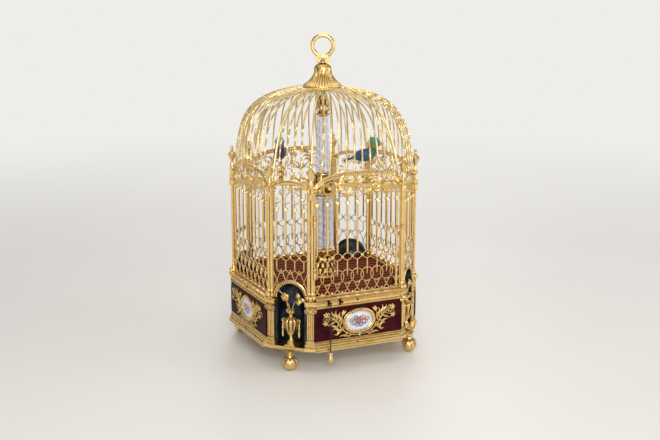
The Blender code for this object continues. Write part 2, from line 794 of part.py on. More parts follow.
def hinge_rod():
    """The rod through the door's knuckles and the post's eyes."""
    x, y = hinge_axis()
    low = HINGE_HEIGHTS[0] - 1.5 * KNUCKLE_TALL
    high = HINGE_HEIGHTS[1] + 1.5 * KNUCKLE_TALL
    rod = cylinder("hinge_rod", HINGE_ROD, low, high, x, y, 8)
    cap = cylinder("cap", KNUCKLE * 0.9, HINGE_HEIGHTS[1] + KNUCKLE_TALL + 2 * GAP, high, x, y, 8)
    return deliver(combine(rod, [cap]), "hinge_rod", "gilt")


def latch():
    """The sliding bolt and its knobs."""
    front = -POST_LINE - SHEET_THICK / 2
    y = front - GAP - LATCH_THICK / 2
    half = LATCH_THICK / 2
    tip = LONG_HALF - LATCH_THROW - LATCH_TIP
    bolt = box("latch", (tip - LATCH_LENGTH, y - half, LATCH_HEIGHT - half),
               (tip, y + half, LATCH_HEIGHT + half))
    x = LONG_PERIOD * 3 + LATCH_KNOB_STATION
    stem = cylinder("stem", LATCH_THICK * 0.3, LATCH_HEIGHT, LATCH_HEIGHT + 3 * LATCH_KNOB, x, y, 6)
    knob_height = LATCH_HEIGHT + 2.4 * LATCH_KNOB
    knob = turned("knob", [(0, knob_height + LATCH_KNOB), (LATCH_KNOB, knob_height),
                           (0, knob_height - LATCH_KNOB)], 8, x, y)
    made = combine(bolt, [combine(stem, [knob])])
    return deliver(made, "latch_bolt", "gilt", (x, y, LATCH_HEIGHT))


def latch_keeper():
    """The staple on the post that the bolt runs into, and the mortise through both."""
    front = -POST_LINE - SHEET_THICK / 2
    half = LATCH_THICK / 2 + GAP
    x_low = LONG_HALF - POST_HALF
    x_high = LONG_HALF + STAPLE_WALL
    outer = box("keeper", (x_low, front - 2 * half - STAPLE_WALL, LATCH_HEIGHT - half - STAPLE_WALL),
                (x_high, -POST_LINE, LATCH_HEIGHT + half + STAPLE_WALL))
    inner = box("gap", (x_low - GAP, front - 2 * half, LATCH_HEIGHT - half),
                (x_high - STAPLE_WALL, front + SHEET_THICK, LATCH_HEIGHT + half))
    return outer, inner


# Dome, crown and ring


def dome_curve(steps, bunching):
    """Radii and heights down the dome's outline, from the collar to the springing, its shoulders eased in."""
    points = []
    for k in range(steps + 1):
        t = pi / 2 * (k / steps) ** bunching
        share = max(0.0, cos(t)) ** (2 / DOME_POWER)
        ease = 1 - DOME_EASE * sin(pi * share ** DOME_EASE_POWER)
        radius = max(COLLAR_RADIUS * 0.9, DOME_RADIUS * sin(t) ** (2 / DOME_POWER) * ease)
        points.append((radius, min(DOME_SPRING + DOME_RISE * share, DOME_TOP - COLLAR_THICK / 2)))
    return points


def dome_wire(face, offset, foot_line, foot_height):
    """A wire from the collar down to its foot on a strap, bent in to the plane of its face."""
    curve = dome_curve(WIRE_STEPS, WIRE_BUNCHING)
    heights = [max(height, foot_height + WIRE_FOOT) for _, height in curve[:-1]] + [foot_height]
    points = []
    for (radius, _), height in zip(curve, heights):
        weight = (radius / DOME_RADIUS) ** 4
        out = radius * cos(offset) * (1 - weight) + weight * foot_line
        points.append(Vector((radius * sin(offset), -out, height)))
    return turn(wire("wire", points, WIRE_RADIUS), face)


def face_wires(turns, count, foot_line, half_turn, height):
    """The wires over each face of one kind, evenly spread between its two ribs."""
    wires = []
    for face in turns:
        for k in range(count):
            offset = half_turn * (2 * (k + 1) / (count + 1) - 1)
            foot = height(DOME_RADIUS * sin(offset)) - STRAP_TALL * 0.6
            wires.append(dome_wire(face, offset, foot_line, foot))
    return wires


def dome():
    """The lifting dome: collar, wires, ribs, the straps over the faces and the yokes."""
    made = cylinder("dome", COLLAR_RADIUS, DOME_TOP - COLLAR_THICK, DOME_TOP, sides=24)
    wires = face_wires(LONG_FACES.values(), LONG_WIRES, POST_LINE, CORNER_TURN, long_arch)
    wires += face_wires(SHORT_FACES.values(), SHORT_WIRES, SHORT_LINE, pi / 4 - CORNER_TURN, short_arch)
    bands = []
    for degrees in post_places():
        points = [Vector((0, -radius, height)) for radius, height in dome_curve(RIB_STEPS, RIB_BUNCHING)]
        points.append(Vector((0, -DOME_RADIUS, YOKE_HEIGHT + YOKE_TALL / 2)))
        wires.append(turn(wire("rib", points, RIB_RADIUS), degrees))
        bands.append(turn(yoke(YOKE_HEIGHT), degrees))
    for face in LONG_FACES.values():
        bands.append(turn(strap(long_arch, LONG_HALF, POST_LINE, LONG_ARCH_STEPS), face))
    for face in SHORT_FACES.values():
        bands.append(turn(strap(short_arch, SHORT_HALF, SHORT_LINE, SHORT_ARCH_STEPS), face))
    rim = combine(bands[0], bands[1:])
    made = combine(made, [joined("wires", wires)])
    return deliver(combine(made, [rim]), "dome_cage", "gilt")


def yoke(bottom):
    """A half collar behind a post, which joins the straps of its two faces."""
    inner = POST_HALF + 2 * GAP
    outline = arc(0, 0, YOKE_OUTER, -10, 190, 5) + arc(0, 0, inner, 190, -10, 4)
    loops = [[(x, y - POST_CIRCLE, z) for x, y in outline] for z in (bottom, bottom + YOKE_TALL)]
    return lofted("yoke", loops)


def crown():
    """The bell-shaped crown over the collar, with the swivel rivet of the ring."""
    base = DOME_TOP + GAP
    r, t, n = CROWN_RADIUS, CROWN_TALL, CROWN_TOP_RADIUS
    seat = base + t + GAP
    plate = seat + STIRRUP_WALL + GAP
    profile = [(0, plate + SWIVEL_HEAD * 0.9), (SWIVEL_HEAD * 0.7, plate + SWIVEL_HEAD * 0.6),
               (SWIVEL_HEAD, plate), (SWIVEL_RADIUS, plate), (SWIVEL_RADIUS, base + t),
               (n * 0.75, base + t * 0.985), (n, base + t * 0.88), (n * 1.3, base + t * 0.62),
               (r * 0.55, base + t * 0.42), (r * 0.75, base + t * 0.2), (r, base + t * 0.05),
               (r, base), (0, base)]
    return deliver(turned("crown", profile, 10), "crown", "gilt")


def hanging_ring():
    """The ring and the stirrup under it, which turns on the crown's rivet."""
    seat = DOME_TOP + GAP + CROWN_TALL + GAP
    low = (-STIRRUP_WIDE / 2, -STIRRUP_DEEP / 2, seat)
    high = (STIRRUP_WIDE / 2, STIRRUP_DEEP / 2, seat + STIRRUP_TALL)
    frame = box("stirrup", low, high)
    clear = SWIVEL_HEAD + 2 * GAP
    window = box("window", (-clear, -STIRRUP_DEEP, seat + STIRRUP_WALL),
                 (clear, STIRRUP_DEEP, seat + STIRRUP_WALL + SWIVEL_HEAD + 3 * GAP))
    bore = cylinder("bore", SWIVEL_RADIUS + GAP, seat - GAP, seat + STIRRUP_WALL + GAP, sides=12)
    frame = cut(frame, [window, bore])
    height = seat + STIRRUP_WALL + SWIVEL_HEAD + 3 * GAP + RING_RADIUS + RING_WIRE
    section = [(RING_RADIUS + RING_WIRE * cos(t), RING_WIRE * sin(t))
               for t in (2 * pi * k / RING_SIDES for k in range(RING_SIDES))]
    loops = []
    for k in range(RING_STEPS):
        a = 2 * pi * (k + 0.5) / RING_STEPS
        loops.append([(r * cos(a), y, height + r * sin(a)) for r, y in section])
    ring = lofted("ring", loops, ring=True)
    made = combine(frame, [ring])
    made.data.transform(Matrix.Rotation(RING_YAW, 4, "Z"))
    return deliver(made, "hanging_ring", "gilt", (0, 0, seat))


# Plinth


def octagon(long_reach, short_reach, z):
    """An octagon round the posts' plan, moved out by one reach on each kind of face."""
    a, b = POST_LINE + long_reach, SHORT_LINE + short_reach
    c = b * sqrt(2.0) - a
    corners = [(c, -a), (a, -c), (a, c), (c, a), (-c, a), (-a, c), (-a, -c), (-c, -a)]
    return [(x, y, z) for x, y in corners]


def plinth_ring(name, profile):
    """A moulded ring from (reach, height) points of its section."""
    loops = [octagon(reach, reach - SHORT_SET_BACK, z) for reach, z in profile]
    return lofted(name, loops, ring=True)


def pilaster(degrees):
    """A corner pilaster, from the foot of the plinth to the post's seat."""
    front = POST_CIRCLE + PILASTER_REACH
    back = front - PILASTER_DEPTH
    low, high = FOOT_CLEARANCE, PILASTER_TOP
    parts = [(PILASTER_SHAFT_WIDE, front - PILASTER_STEP, back, low, high),
             (PILASTER_BASE_WIDE, front + PILASTER_STEP, back - GAP, low, low + PILASTER_BASE_TALL),
             (PILASTER_CAP_WIDE, front, back - GAP, high - PILASTER_CAP_TALL, high)]
    blocks = [box("pilaster", (-wide / 2, -reach, a), (wide / 2, -rear, b))
              for wide, reach, rear, a, b in parts]
    return turn(combine(blocks[0], blocks[1:]), degrees)


def plinth():
    """The plinth's frame: base moulding, cornice and eight pilasters, cut for the niches."""
    reach, wall = MOULDING_REACH, PLINTH_WALL
    low, high = FOOT_CLEARANCE, PANEL_BOTTOM
    base = plinth_ring("plinth", [
        (reach - wall * 1.8, low), (reach, low), (reach, low + BASE_MOULDING * 0.4),
        (reach * 0.6, high), (reach - wall, high),
        (reach - wall, low + SHELF_THICK), (reach - wall * 1.8, low + SHELF_THICK)])
    low, high = CORNICE_BOTTOM, PLINTH_TOP
    ledge = FLOOR_TOP - FLOOR_THICK - GAP
    cornice = plinth_ring("cornice", [
        (reach - wall, low), (reach * 0.7, low), (reach * 0.66, low + CORNICE * 0.5),
        (reach, high - CORNICE * 0.15), (reach, high),
        (reach - wall, high), (reach - wall, ledge), (reach - wall - FLOOR_LEDGE, ledge),
        (reach - wall - FLOOR_LEDGE, ledge - FLOOR_LEDGE)])
    made = combine(base, [cornice_joined(cornice)])
    cutters = []
    for face in SHORT_FACES.values():
        hollow = NICHE_RADIUS + NICHE_WALL + GAP
        cutters.append(turn(cylinder("niche_cut", hollow, SHELF_TOP, PLINTH_TOP + ARCHIVOLT,
                                     y=-NICHE_LINE, sides=12), face))
    half = PILASTER_CAP_WIDE / 2 + GAP
    for degrees in post_places():
        seat = box("seat", (-half, -POST_CIRCLE - 3 * half, PILASTER_TOP),
                   (half, -POST_CIRCLE + PILASTER_DEPTH, PLINTH_TOP + ARCHIVOLT))
        cutters.append(turn(seat, degrees))
    for x in LEVER_STATIONS.values():
        cutters.append(box("slot", (x - SLOT_WIDE / 2, -POST_LINE - 2 * reach, SLOT_HEIGHT - SLOT_TALL / 2),
                           (x + SLOT_WIDE / 2, -POST_LINE + 2 * wall, SLOT_HEIGHT + SLOT_TALL / 2)))
    return deliver(cut(made, cutters), "plinth_frame", "gilt")


def cornice_joined(cornice):
    """The cornice with the pilasters under it."""
    return combine(cornice, [pilaster(degrees) for degrees in post_places()])


def niche(where, degrees):
    """A niche's shell: half a cylinder under a quarter of a sphere, open to the front."""
    middle = NICHE_RADIUS + NICHE_WALL / 2
    crown_turns = [pi / 2 * (1 - k / NICHE_STEPS) for k in range(1, NICHE_STEPS + 1)]
    profile = [(0.0, NICHE_SPRING + middle)]
    profile += [(middle * cos(t), NICHE_SPRING + middle * sin(t)) for t in crown_turns]
    profile.append((middle, SHELF_TOP + GAP))
    shell = turned("niche", profile, 2 * NICHE_STEPS, y=-NICHE_LINE, angle=pi)
    wall = shell.modifiers.new("wall", "SOLIDIFY")
    wall.thickness = NICHE_WALL
    wall.offset = 0.0
    return deliver(turn(settle(shell), degrees), "niche_" + where, "niche_blue")


def panel(where, degrees):
    """A long face's enamelled panel."""
    front = -POST_LINE - PANEL_REACH
    end = LONG_HALF - PILASTER_CAP_WIDE / 2 - PANEL_END_GAP
    made = box("panel", (-end, front, PANEL_BOTTOM + GAP),
               (end, front + PANEL_THICK, CORNICE_BOTTOM - GAP))
    return deliver(turn(made, degrees), "panel_" + where, "maroon_enamel")


def medallion(where, degrees):
    """An oval plaque in its frame, on a panel."""
    front = -POST_LINE - PANEL_REACH - GAP
    middle = (PANEL_BOTTOM + CORNICE_BOTTOM) / 2
    wide, tall = MEDALLION_WIDE / 2, MEDALLION_TALL / 2
    rim = MEDALLION_FRAME
    rings = [(0, 0), (rim * 0.4, MEDALLION_THICK), (rim, PLAQUE_THICK)]
    loops = []
    for inset, height in rings:
        loops.append([((wide - inset) * cos(t), front - height, middle + (tall - inset) * sin(t))
                      for t in (2 * pi * k / 16 for k in range(16))])
    made = lofted("medallion", loops)
    return deliver(turn(made, degrees), "medallion_" + where, "porcelain")


def cage_floor():
    """The floor of the cage, on the cornice's ledge, cut for the niches and the rock's arbor."""
    reach = MOULDING_REACH - PLINTH_WALL - GAP
    loops = [octagon(reach, reach - SHORT_SET_BACK, z) for z in (FLOOR_TOP - FLOOR_THICK, FLOOR_TOP)]
    made = lofted("floor", loops)
    cutters = [cylinder("bore", ARBOR_RADIUS + 2 * GAP, FLOOR_TOP - 2 * FLOOR_THICK, FLOOR_TOP + GAP)]
    for face in SHORT_FACES.values():
        cutters.append(turn(cylinder("niche_cut", NICHE_RADIUS + NICHE_WALL + GAP,
                                     FLOOR_TOP - 2 * FLOOR_THICK, FLOOR_TOP + GAP,
                                     y=-NICHE_LINE, sides=12), face))
    for degrees in post_places():
        half = PILASTER_CAP_WIDE / 2 + GAP
        back = POST_CIRCLE + PILASTER_REACH - PILASTER_DEPTH - GAP
        cutters.append(turn(box("corner", (-half, -back - PILASTER_DEPTH, FLOOR_TOP - 2 * FLOOR_THICK),
                                (half, -back, FLOOR_TOP + GAP)), degrees))
    return deliver(cut(made, cutters), "cage_floor", "floor_red")


# Urns with their flowers and ball feet


def urn_foot(where, degrees):
    """The urn of a niche: bouquet, handles, vase and base, and the ball foot under the shelf."""
    y = -URN_LINE
    base = SHELF_TOP + GAP
    r, t = URN_RADIUS, URN_TALL
    vase = turned("vase", [
        (0, base + t), (r * 0.8, base + t), (r * 0.3, base + t * 0.84), (r, base + t * 0.68),
        (r * 0.3, base + t * 0.3), (r * 0.72, base + t * 0.12), (0, base + t * 0.08)], 8, y=y)
    plate = box("base", (-URN_BASE, y - URN_BASE, base), (URN_BASE, y + URN_BASE, base + t * 0.1))
    parts = [plate]
    for side in (-1, 1):
        path = [(side * r * 0.9, y, base + t * 0.68), (side * HANDLE_REACH, y, base + t * 0.74),
                (side * HANDLE_REACH * 0.96, y, base + t * 0.34)]
        parts.append(wire("handle", path, HANDLE_RADIUS))
    top = base + t
    for side, lift, size in ((-1, FLOWER_LIFT * 1.02, 1.0), (1, FLOWER_LIFT * 0.9, 0.8)):
        x = side * r * 0.8
        parts.append(wire("stalk", [(x * 0.25, y, top - MM), (x * 0.7, y, top + lift * 0.6),
                                    (x, y, top + lift)], STALK_RADIUS))
        radius = FLOWER_RADIUS * size
        bloom = turned("bloom", [(0, 2.4 * MM), (radius, 1.0 * MM), (0, -1.6 * MM)], 6)
        lean = Matrix.Rotation(radians(78), 4, "X")
        bloom.data.transform(Matrix.Translation((x, y - 1.2 * MM, top + lift)) @ lean)
        parts.append(bloom)
    urn = combine(vase, parts)
    ball_y = -FOOT_LINE
    b = FOOT_BALL
    ball = turned("ball", [(0, 2 * b), (b * 0.9, b * 1.5), (b, b), (b * 0.9, b * 0.5),
                           (b * 0.5, 0.0), (0, 0)], 7, y=ball_y)
    stem = wire("stem", [(0, ball_y, b * 1.6), (0, (ball_y + y) / 2, b * 2.4),
                         (0, y, FOOT_CLEARANCE * 0.9), (0, y, SHELF_TOP + t * 0.05)], STEM_RADIUS)
    made = combine(stem, [ball])
    return deliver(turn(combine(made, [urn]), degrees), "urn_foot_" + where, "gilt")


def shelf_bores():
    """The holes in the shelves that the urns' stems pass through."""
    return [turn(cylinder("stem_bore", STEM_RADIUS + GAP, FOOT_CLEARANCE - 4 * GAP,
                          SHELF_TOP + 4 * GAP, y=-URN_LINE, sides=12), face)
            for face in SHORT_FACES.values()]


# Fountain, beam and perches


def lobed(radius, z, lobes=JET_LOBES, depth=0.16):
    """A lobed section, two points to a lobe."""
    points = []
    for k in range(2 * lobes):
        r = radius * (1 if k % 2 else 1 - depth)
        a = pi * k / lobes
        points.append((r * cos(a), r * sin(a), z))
    return points


def fountain_levels():
    """Heights of the fountain's joints, from the floor up."""
    rock = FLOOR_TOP + GAP
    lower = rock + ROCK_TALL + GAP
    basin = lower + LOWER_JETS_TALL + GAP
    upper = basin + BASIN_TALL + GAP
    capital = upper + UPPER_JETS_TALL + GAP
    return rock, lower, basin, upper, capital


def fountain():
    """Rock base, lower jets, basin, upper jets and capital, on one upright line."""
    rock, lower, basin, upper, capital = fountain_levels()
    r, t = ROCK_RADIUS, ROCK_TALL
    made = turned("rock", [(0, rock + t), (LOWER_JETS_RADIUS * 0.9, rock + t),
                           (LOWER_JETS_RADIUS, rock + t * 0.8), (r * 0.62, rock + t * 0.66),
                           (r * 0.78, rock + t * 0.5), (r, rock + t * 0.2), (r * 0.94, rock), (0, rock)], 10)
    deliver(made, "fountain_rock", "gilt")
    radius = LOWER_JETS_RADIUS
    made = lofted("jets", [lobed(radius * 0.96, lower), lobed(radius, lower + LOWER_JETS_TALL * 0.5),
                           lobed(radius * 0.96, lower + LOWER_JETS_TALL)])
    deliver(made, "lower_jets", "glass")
    core = BASIN_RADIUS * 0.68
    beam_low = BEAM_HEIGHT - BEAM_TALL / 2 - GAP
    beam_high = BEAM_HEIGHT + BEAM_TALL / 2 + GAP
    top = basin + BASIN_TALL
    made = turned("basin", [(0, top), (UPPER_JETS_RADIUS + 2 * MM, top),
                            (BASIN_RADIUS * 0.72, top - BASIN_TALL * 0.12),
                            (BASIN_RADIUS, top - BASIN_TALL * 0.28), (core * 1.18, beam_high),
                            (core, beam_high), (core, beam_low), (core * 0.92, basin), (0, basin)], 12)
    deliver(made, "fountain_basin", "gilt")
    made = lofted("jets", [lobed(UPPER_JETS_RADIUS, upper),
                           lobed(UPPER_JETS_TOP, upper + UPPER_JETS_TALL)])
    deliver(made, "upper_jets", "glass")
    collar = DOME_TOP - COLLAR_THICK
    r = CAPITAL_RADIUS
    tall = collar - GAP - capital
    made = turned("capital", [(0, capital + tall), (r * 0.5, capital + tall),
                              (r * 0.32, capital + tall * 0.7), (r * 0.8, capital + tall * 0.56),
                              (r * 0.62, capital + tall * 0.4),
                              (r, capital + tall * 0.12), (r * 0.9, capital), (0, capital)], 8)
    deliver(made, "fountain_capital", "gilt")


def beam():
    """The beam across the cage: ring round the basin, bars out to the clamps, and the clamps."""
    low, high = BEAM_HEIGHT - BEAM_TALL / 2, BEAM_HEIGHT + BEAM_TALL / 2
    core = BASIN_RADIUS * 0.68 + GAP
    made = cylinder("beam", core + BEAM_RING, low, high, sides=12)
    arms = []
    for side in (-1, 1):
        inner, outer = core + BEAM_RING / 2, POST_CIRCLE - CLAMP_SIZE / 2 + MM
        x_low, x_high = sorted((side * inner, side * outer))
        arms.append(box("arm", (x_low, -BEAM_THICK / 2, low), (x_high, BEAM_THICK / 2, high)))
        middle = side * POST_CIRCLE
        arms.append(box("clamp", (middle - CLAMP_SIZE / 2, -CLAMP_SIZE / 2, BEAM_HEIGHT - CLAMP_TALL / 2),
                        (middle + CLAMP_SIZE / 2, CLAMP_SIZE / 2, BEAM_HEIGHT + CLAMP_TALL / 2)))
    made = combine(made, arms)
    bores = [cylinder("bore", core, low - GAP, high + GAP, sides=12)]
    for side in (-1, 1):
        bores.append(box("post_bore", (side * POST_CIRCLE - COLONNETTE - 2 * GAP, -POST_HALF - 2 * GAP,
                                       BEAM_HEIGHT - CLAMP_TALL),
                         (side * POST_CIRCLE + COLONNETTE + 2 * GAP, POST_HALF + 2 * GAP,
                          BEAM_HEIGHT + CLAMP_TALL)))
    made = cut(made, bores)
    made.data.transform(Matrix.Rotation(BEAM_TURN, 4, "Z"))
    return deliver(made, "beam", "gilt")


def bird_place(side):
    """Plan place of a bird on the beam."""
    reach = BIRD_STATION if side == "right" else -BIRD_STATION
    return reach * cos(BEAM_TURN), reach * sin(BEAM_TURN)


def perch(side):
    """A stem with a leaf cup, which carries a bird."""
    x, y = bird_place(side)
    base = BEAM_HEIGHT + BEAM_TALL / 2 + GAP
    r, t = CUP_RADIUS, PERCH_TALL
    made = turned("perch", [(0, base + t), (PERCH_RADIUS, base + t), (PERCH_RADIUS, base + t * 0.62),
                            (r, base + t * 0.52), (r * 0.45, base + t * 0.2), (r * 0.6, base), (0, base)],
                  10, x, y)
    return deliver(made, "perch_" + side, "gilt")


def bird_levels():
    """Heights of a bird: the perch's top, the body's middle and the neck."""
    seat = BEAM_HEIGHT + BEAM_TALL / 2 + GAP + PERCH_TALL + GAP
    return seat, seat + BIRD_WIDE * 0.62, seat + BIRD_WIDE * 1.42


def oval(x, z, tilt, wide, tall, count=10):
    """A section of a bird's body, upright across its length, leaning by a tilt."""
    points = []
    for k in range(count):
        a = 2 * pi * k / count
        lift = tall * sin(a)
        points.append((wide * cos(a), x + lift * sin(tilt), z + lift * cos(tilt)))
    return points


def place_bird(thing, side):
    """Turn a part of a bird to its way of looking, and put it on its perch."""
    x, y = bird_place(side)
    thing.data.transform(Matrix.Translation((x, y, 0)) @ Matrix.Rotation(BIRD_TURNS[side], 4, "Z"))
    return thing


def bird(side):
    """A bird, modelled looking along -Y: body with folded wings, head, lower beak and tail."""
    seat, middle, neck = bird_levels()
    w = BIRD_WIDE / 2
    finish = "indigo_feather" if side == "left" else "teal_feather"
    x, y = bird_place(side)
    back = BIRD_LENGTH / 2
    sections = [(-back * 0.52, neck + w * 0.06, 1.35, 0.42, 0.40),
                (-back * 0.44, neck - w * 0.5, 1.05, 0.74, 0.72),
                (-back * 0.22, middle + w * 0.28, 0.65, 0.98, 0.98),
                (back * 0.1, middle - w * 0.1, 0.42, 1.0, 0.92),
                (back * 0.45, middle - w * 0.5, 0.4, 0.72, 0.6),
                (back * 0.72, middle - w * 0.8, 0.0, 0.4, 0.3)]
    loops = [oval(a, z, tilt, w * wide, w * tall) for a, z, tilt, wide, tall in sections]
    body = lofted("body", loops)
    leg = cylinder("leg", PERCH_RADIUS, seat, middle, sides=8)
    body = combine(body, [leg])
    deliver(place_bird(body, side), "bird_body_" + side, finish, (x, y, middle))
    head_z = neck + HEAD_RADIUS * 0.98
    head_y = -back * 0.52
    r = HEAD_RADIUS
    head = turned("head", [(0, r), (r * 0.62, r * 0.76), (r * 0.98, r * 0.15), (r * 0.82, -r * 0.5),
                           (r * 0.4, -r * 0.72), (0, -r * 0.72)], 10)
    beak = turned("beak", [(0, HEAD_RADIUS + BEAK_LENGTH * 0.8), (BEAK_TALL, HEAD_RADIUS * 0.6),
                           (0, HEAD_RADIUS * 0.5)], 8)
    beak.data.transform(Matrix.Translation((0, 0, BEAK_TALL)) @ Matrix.Rotation(pi / 2, 4, "X"))
    head = combine(head, [beak])
    mouth = box("mouth", (-BEAK_TALL * 1.3, -HEAD_RADIUS - BEAK_LENGTH, -BEAK_TALL * 1.4),
                (BEAK_TALL * 1.3, -HEAD_RADIUS * 0.66, BEAK_TALL * 0.2))
    head = cut(head, [mouth])
    head.data.transform(Matrix.Translation((0, head_y, head_z)))
    place = place_bird(head, side)
    pivot = Matrix.Rotation(BIRD_TURNS[side], 3, "Z") @ Vector((0, head_y, 0))
    deliver(place, "bird_head_" + side, finish, (x + pivot.x, y + pivot.y, head_z))
    jaw = turned("jaw", [(0, BEAK_LENGTH * 0.95), (BEAK_TALL * 0.75, BEAK_LENGTH * 0.2),
                         (BEAK_TALL * 0.6, 0), (0, 0)], 6)
    jaw_y, jaw_z = head_y - r * 0.66 - GAP, head_z - BEAK_TALL * 0.7
    lean = Matrix.Rotation(pi / 2 + JAW_DROP, 4, "X")
    jaw.data.transform(Matrix.Translation((0, jaw_y - GAP, jaw_z)) @ lean)
    hinge = Matrix.Rotation(BIRD_TURNS[side], 3, "Z") @ Vector((0, jaw_y, 0))
    deliver(place_bird(jaw, side), "bird_beak_" + side, "beak_coral", (x + hinge.x, y + hinge.y, jaw_z))
    root = back * 0.72 + TAIL_GAP
    drop = middle - w * 0.8
    tail_loops = []
    for share, wide, thick in ((0, 0.55, 0.26), (0.5, 0.9, 0.2), (1, 1.0, 0.12)):
        a, z = root + TAIL_LENGTH * share, drop - TAIL_LENGTH * 0.22 * share
        half, tall = TAIL_WIDE / 2 * wide, w * thick
        tail_loops.append([(-half, a, z - tall), (half, a, z - tall), (half, a, z + tall),
                           (-half, a, z + tall)])
    tail = lofted("tail", tail_loops)
    hinge = Matrix.Rotation(BIRD_TURNS[side], 3, "Z") @ Vector((0, root, 0))
    deliver(place_bird(tail, side), "bird_tail_" + side, finish, (x + hinge.x, y + hinge.y, drop))


# Clock and movement


def flat_hand(name, shapes, bottom):
    """A hand cut from plate, pointing along +Y, with its underside at a height."""
    hand = sheet(name, shapes + [arc(0, 0, HAND_HUB, 0, 330, 11)], 0, HAND_THICK)
    lift = Matrix.Translation((0, 0, bottom + HAND_THICK / 2))
    hand.data.transform(lift @ Matrix.Rotation(-pi / 2, 4, "X"))
    return hand


def clock():
    """The dial that faces down, its bezel and the two hands."""
    dial = cylinder("dial", DIAL_RADIUS, DIAL_LOW, DIAL_TOP, sides=20)
    pipe_radius = HAND_ARBOR * 1.6
    arbor_radius = HAND_ARBOR * 0.7
    bore = cylinder("bore", pipe_radius + GAP, DIAL_LOW - GAP, DIAL_TOP + GAP, sides=12)
    deliver(cut(dial, [bore]), "dial_plate", "porcelain")
    inner, outer = DIAL_RADIUS + GAP, DIAL_RADIUS + BEZEL_WALL
    lip, bottom, top = DIAL_RADIUS - BEZEL_WALL / 2, FOOT_CLEARANCE, FOOT_CLEARANCE + BEZEL_TALL
    section = [(lip, bottom), (outer, bottom), (outer, top), (inner, top), (inner, DIAL_LOW - GAP),
               (lip, DIAL_LOW - GAP)]
    loops = [[(r * cos(pi * k / 10), r * sin(pi * k / 10), z) for r, z in section] for k in range(20)]
    deliver(lofted("bezel", loops, ring=True), "dial_bezel", "gilt")
    minute_z = DIAL_LOW - HAND_DROP / 2 - 2 * HAND_THICK
    hour_z = minute_z + HAND_THICK + HAND_DROP / 4
    arbor_top = DIAL_TOP + ARBOR_ABOVE_DIAL
    shapes = stroke([(0, 0), (0, MINUTE_HAND * 0.6)], HAND_HUB * 0.5)
    shapes += stroke([(0, MINUTE_HAND * 0.6), (0, MINUTE_HAND)], HAND_HUB * 0.3)
    made = flat_hand("minute", shapes, minute_z)
    made = combine(made, [cylinder("arbor", arbor_radius, minute_z, arbor_top, sides=8)])
    made.data.transform(Matrix.Rotation(HAND_TURNS["minute"], 4, "Z"))
    deliver(made, "minute_hand", "steel")
    shapes = stroke([(0, 0), (0, HOUR_HAND * 0.6)], HAND_HUB * 0.7)
    shapes.append(lozenge(0, HOUR_HAND * 0.72, HAND_HUB, HOUR_HAND * 0.28))
    made = flat_hand("hour", shapes, hour_z)
    made = combine(made, [cylinder("pipe", pipe_radius, hour_z, arbor_top - MM, sides=12)])
    made = cut(made, [cylinder("bore", arbor_radius + GAP, minute_z, arbor_top + MM, sides=8)])
    made.data.transform(Matrix.Rotation(HAND_TURNS["hour"], 4, "Z"))
    deliver(made, "hour_hand", "steel")


def movement():
    """Two plates on pillars with the bellows' fixed board, the spring barrel and the fly."""
    low = DIAL_TOP + DIAL_TO_PLATE
    high = low + MOVEMENT_TALL
    r = MOVEMENT_RADIUS
    made = cylinder("movement", r, low, low + MOVEMENT_PLATE, sides=12)
    made = cut(made, [cylinder("bore", HAND_ARBOR * 2.2, low - GAP, low + 2 * MOVEMENT_PLATE, sides=12)])
    upper = cylinder("upper", r * 0.96, high - MOVEMENT_PLATE, high, sides=12)
    places = [(r * 0.82 * x, r * 0.82 * y) for x in (-sqrt(0.5), sqrt(0.5)) for y in (-sqrt(0.5), sqrt(0.5))]
    pillars = [cylinder("pillar", PILLAR_RADIUS, DIAL_TOP + GAP, high - MOVEMENT_PLATE / 2, x, y, 6)
               for x, y in places]
    board = box("board", (-BELLOWS_WIDE / 2, BELLOWS_STATION, high - GAP),
                (BELLOWS_WIDE / 2, BELLOWS_STATION + BELLOWS_LONG, high + BELLOWS_BOARD))
    made = combine(made, pillars)
    made = combine(made, [upper])
    made = combine(made, [board])
    seats = [cylinder("seat", PIVOT_RADIUS + GAP, low - GAP, high + GAP, x, 0, 10)
             for x in (BARREL_STATION, FLY_STATION)]
    rest = FLOOR_TOP - FLOOR_THICK - GAP
    hangers = [cylinder("hanger", PILLAR_RADIUS * 0.7, high - GAP, rest, x, y, 6) for x, y in places]
    made = combine(cut(made, seats), hangers)
    deliver(made, "movement_frame", "gilt_shade")
    middle = (low + high) / 2
    half = BARREL_TALL / 2
    pivot, drum, rim = PIVOT_RADIUS, BARREL_RADIUS, BARREL_RADIUS * 1.08
    barrel = turned("barrel", [(0, high), (pivot, high), (pivot, middle + half), (drum, middle + half),
                               (drum, middle - half * 0.7), (rim, middle - half * 0.7), (rim, middle - half),
                               (pivot, middle - half), (pivot, low), (0, low)], 12, BARREL_STATION)
    deliver(barrel, "spring_barrel", "gilt_shade", (BARREL_STATION, 0, middle))
    arbor = cylinder("fly", PIVOT_RADIUS, low, high, FLY_STATION, 0, 8)
    vanes = [box("vane", (FLY_STATION - FLY_RADIUS, -GAP * 2, middle - half * 0.6),
                 (FLY_STATION + FLY_RADIUS, GAP * 2, middle + half * 0.6)),
             cylinder("pinion", PIVOT_RADIUS * 2.2, low + MOVEMENT_PLATE * 2, low + MOVEMENT_PLATE * 3.4,
                      FLY_STATION, 0, 8)]
    deliver(combine(arbor, vanes), "regulator_fly", "steel", (FLY_STATION, 0, middle))
    base = high + BELLOWS_BOARD + GAP
    y = BELLOWS_STATION
    loops = []
    for x in (-BELLOWS_WIDE / 2, BELLOWS_WIDE / 2):
        loops.append([(x, y, base), (x, y + BELLOWS_LONG, base), (x, y + BELLOWS_LONG, base + BELLOWS_OPEN),
                      (x, y, base + BELLOWS_BOARD)])
    deliver(lofted("bellows", loops), "bellows", "bellows_leather", (0, y, base))


# Levers, pull cord


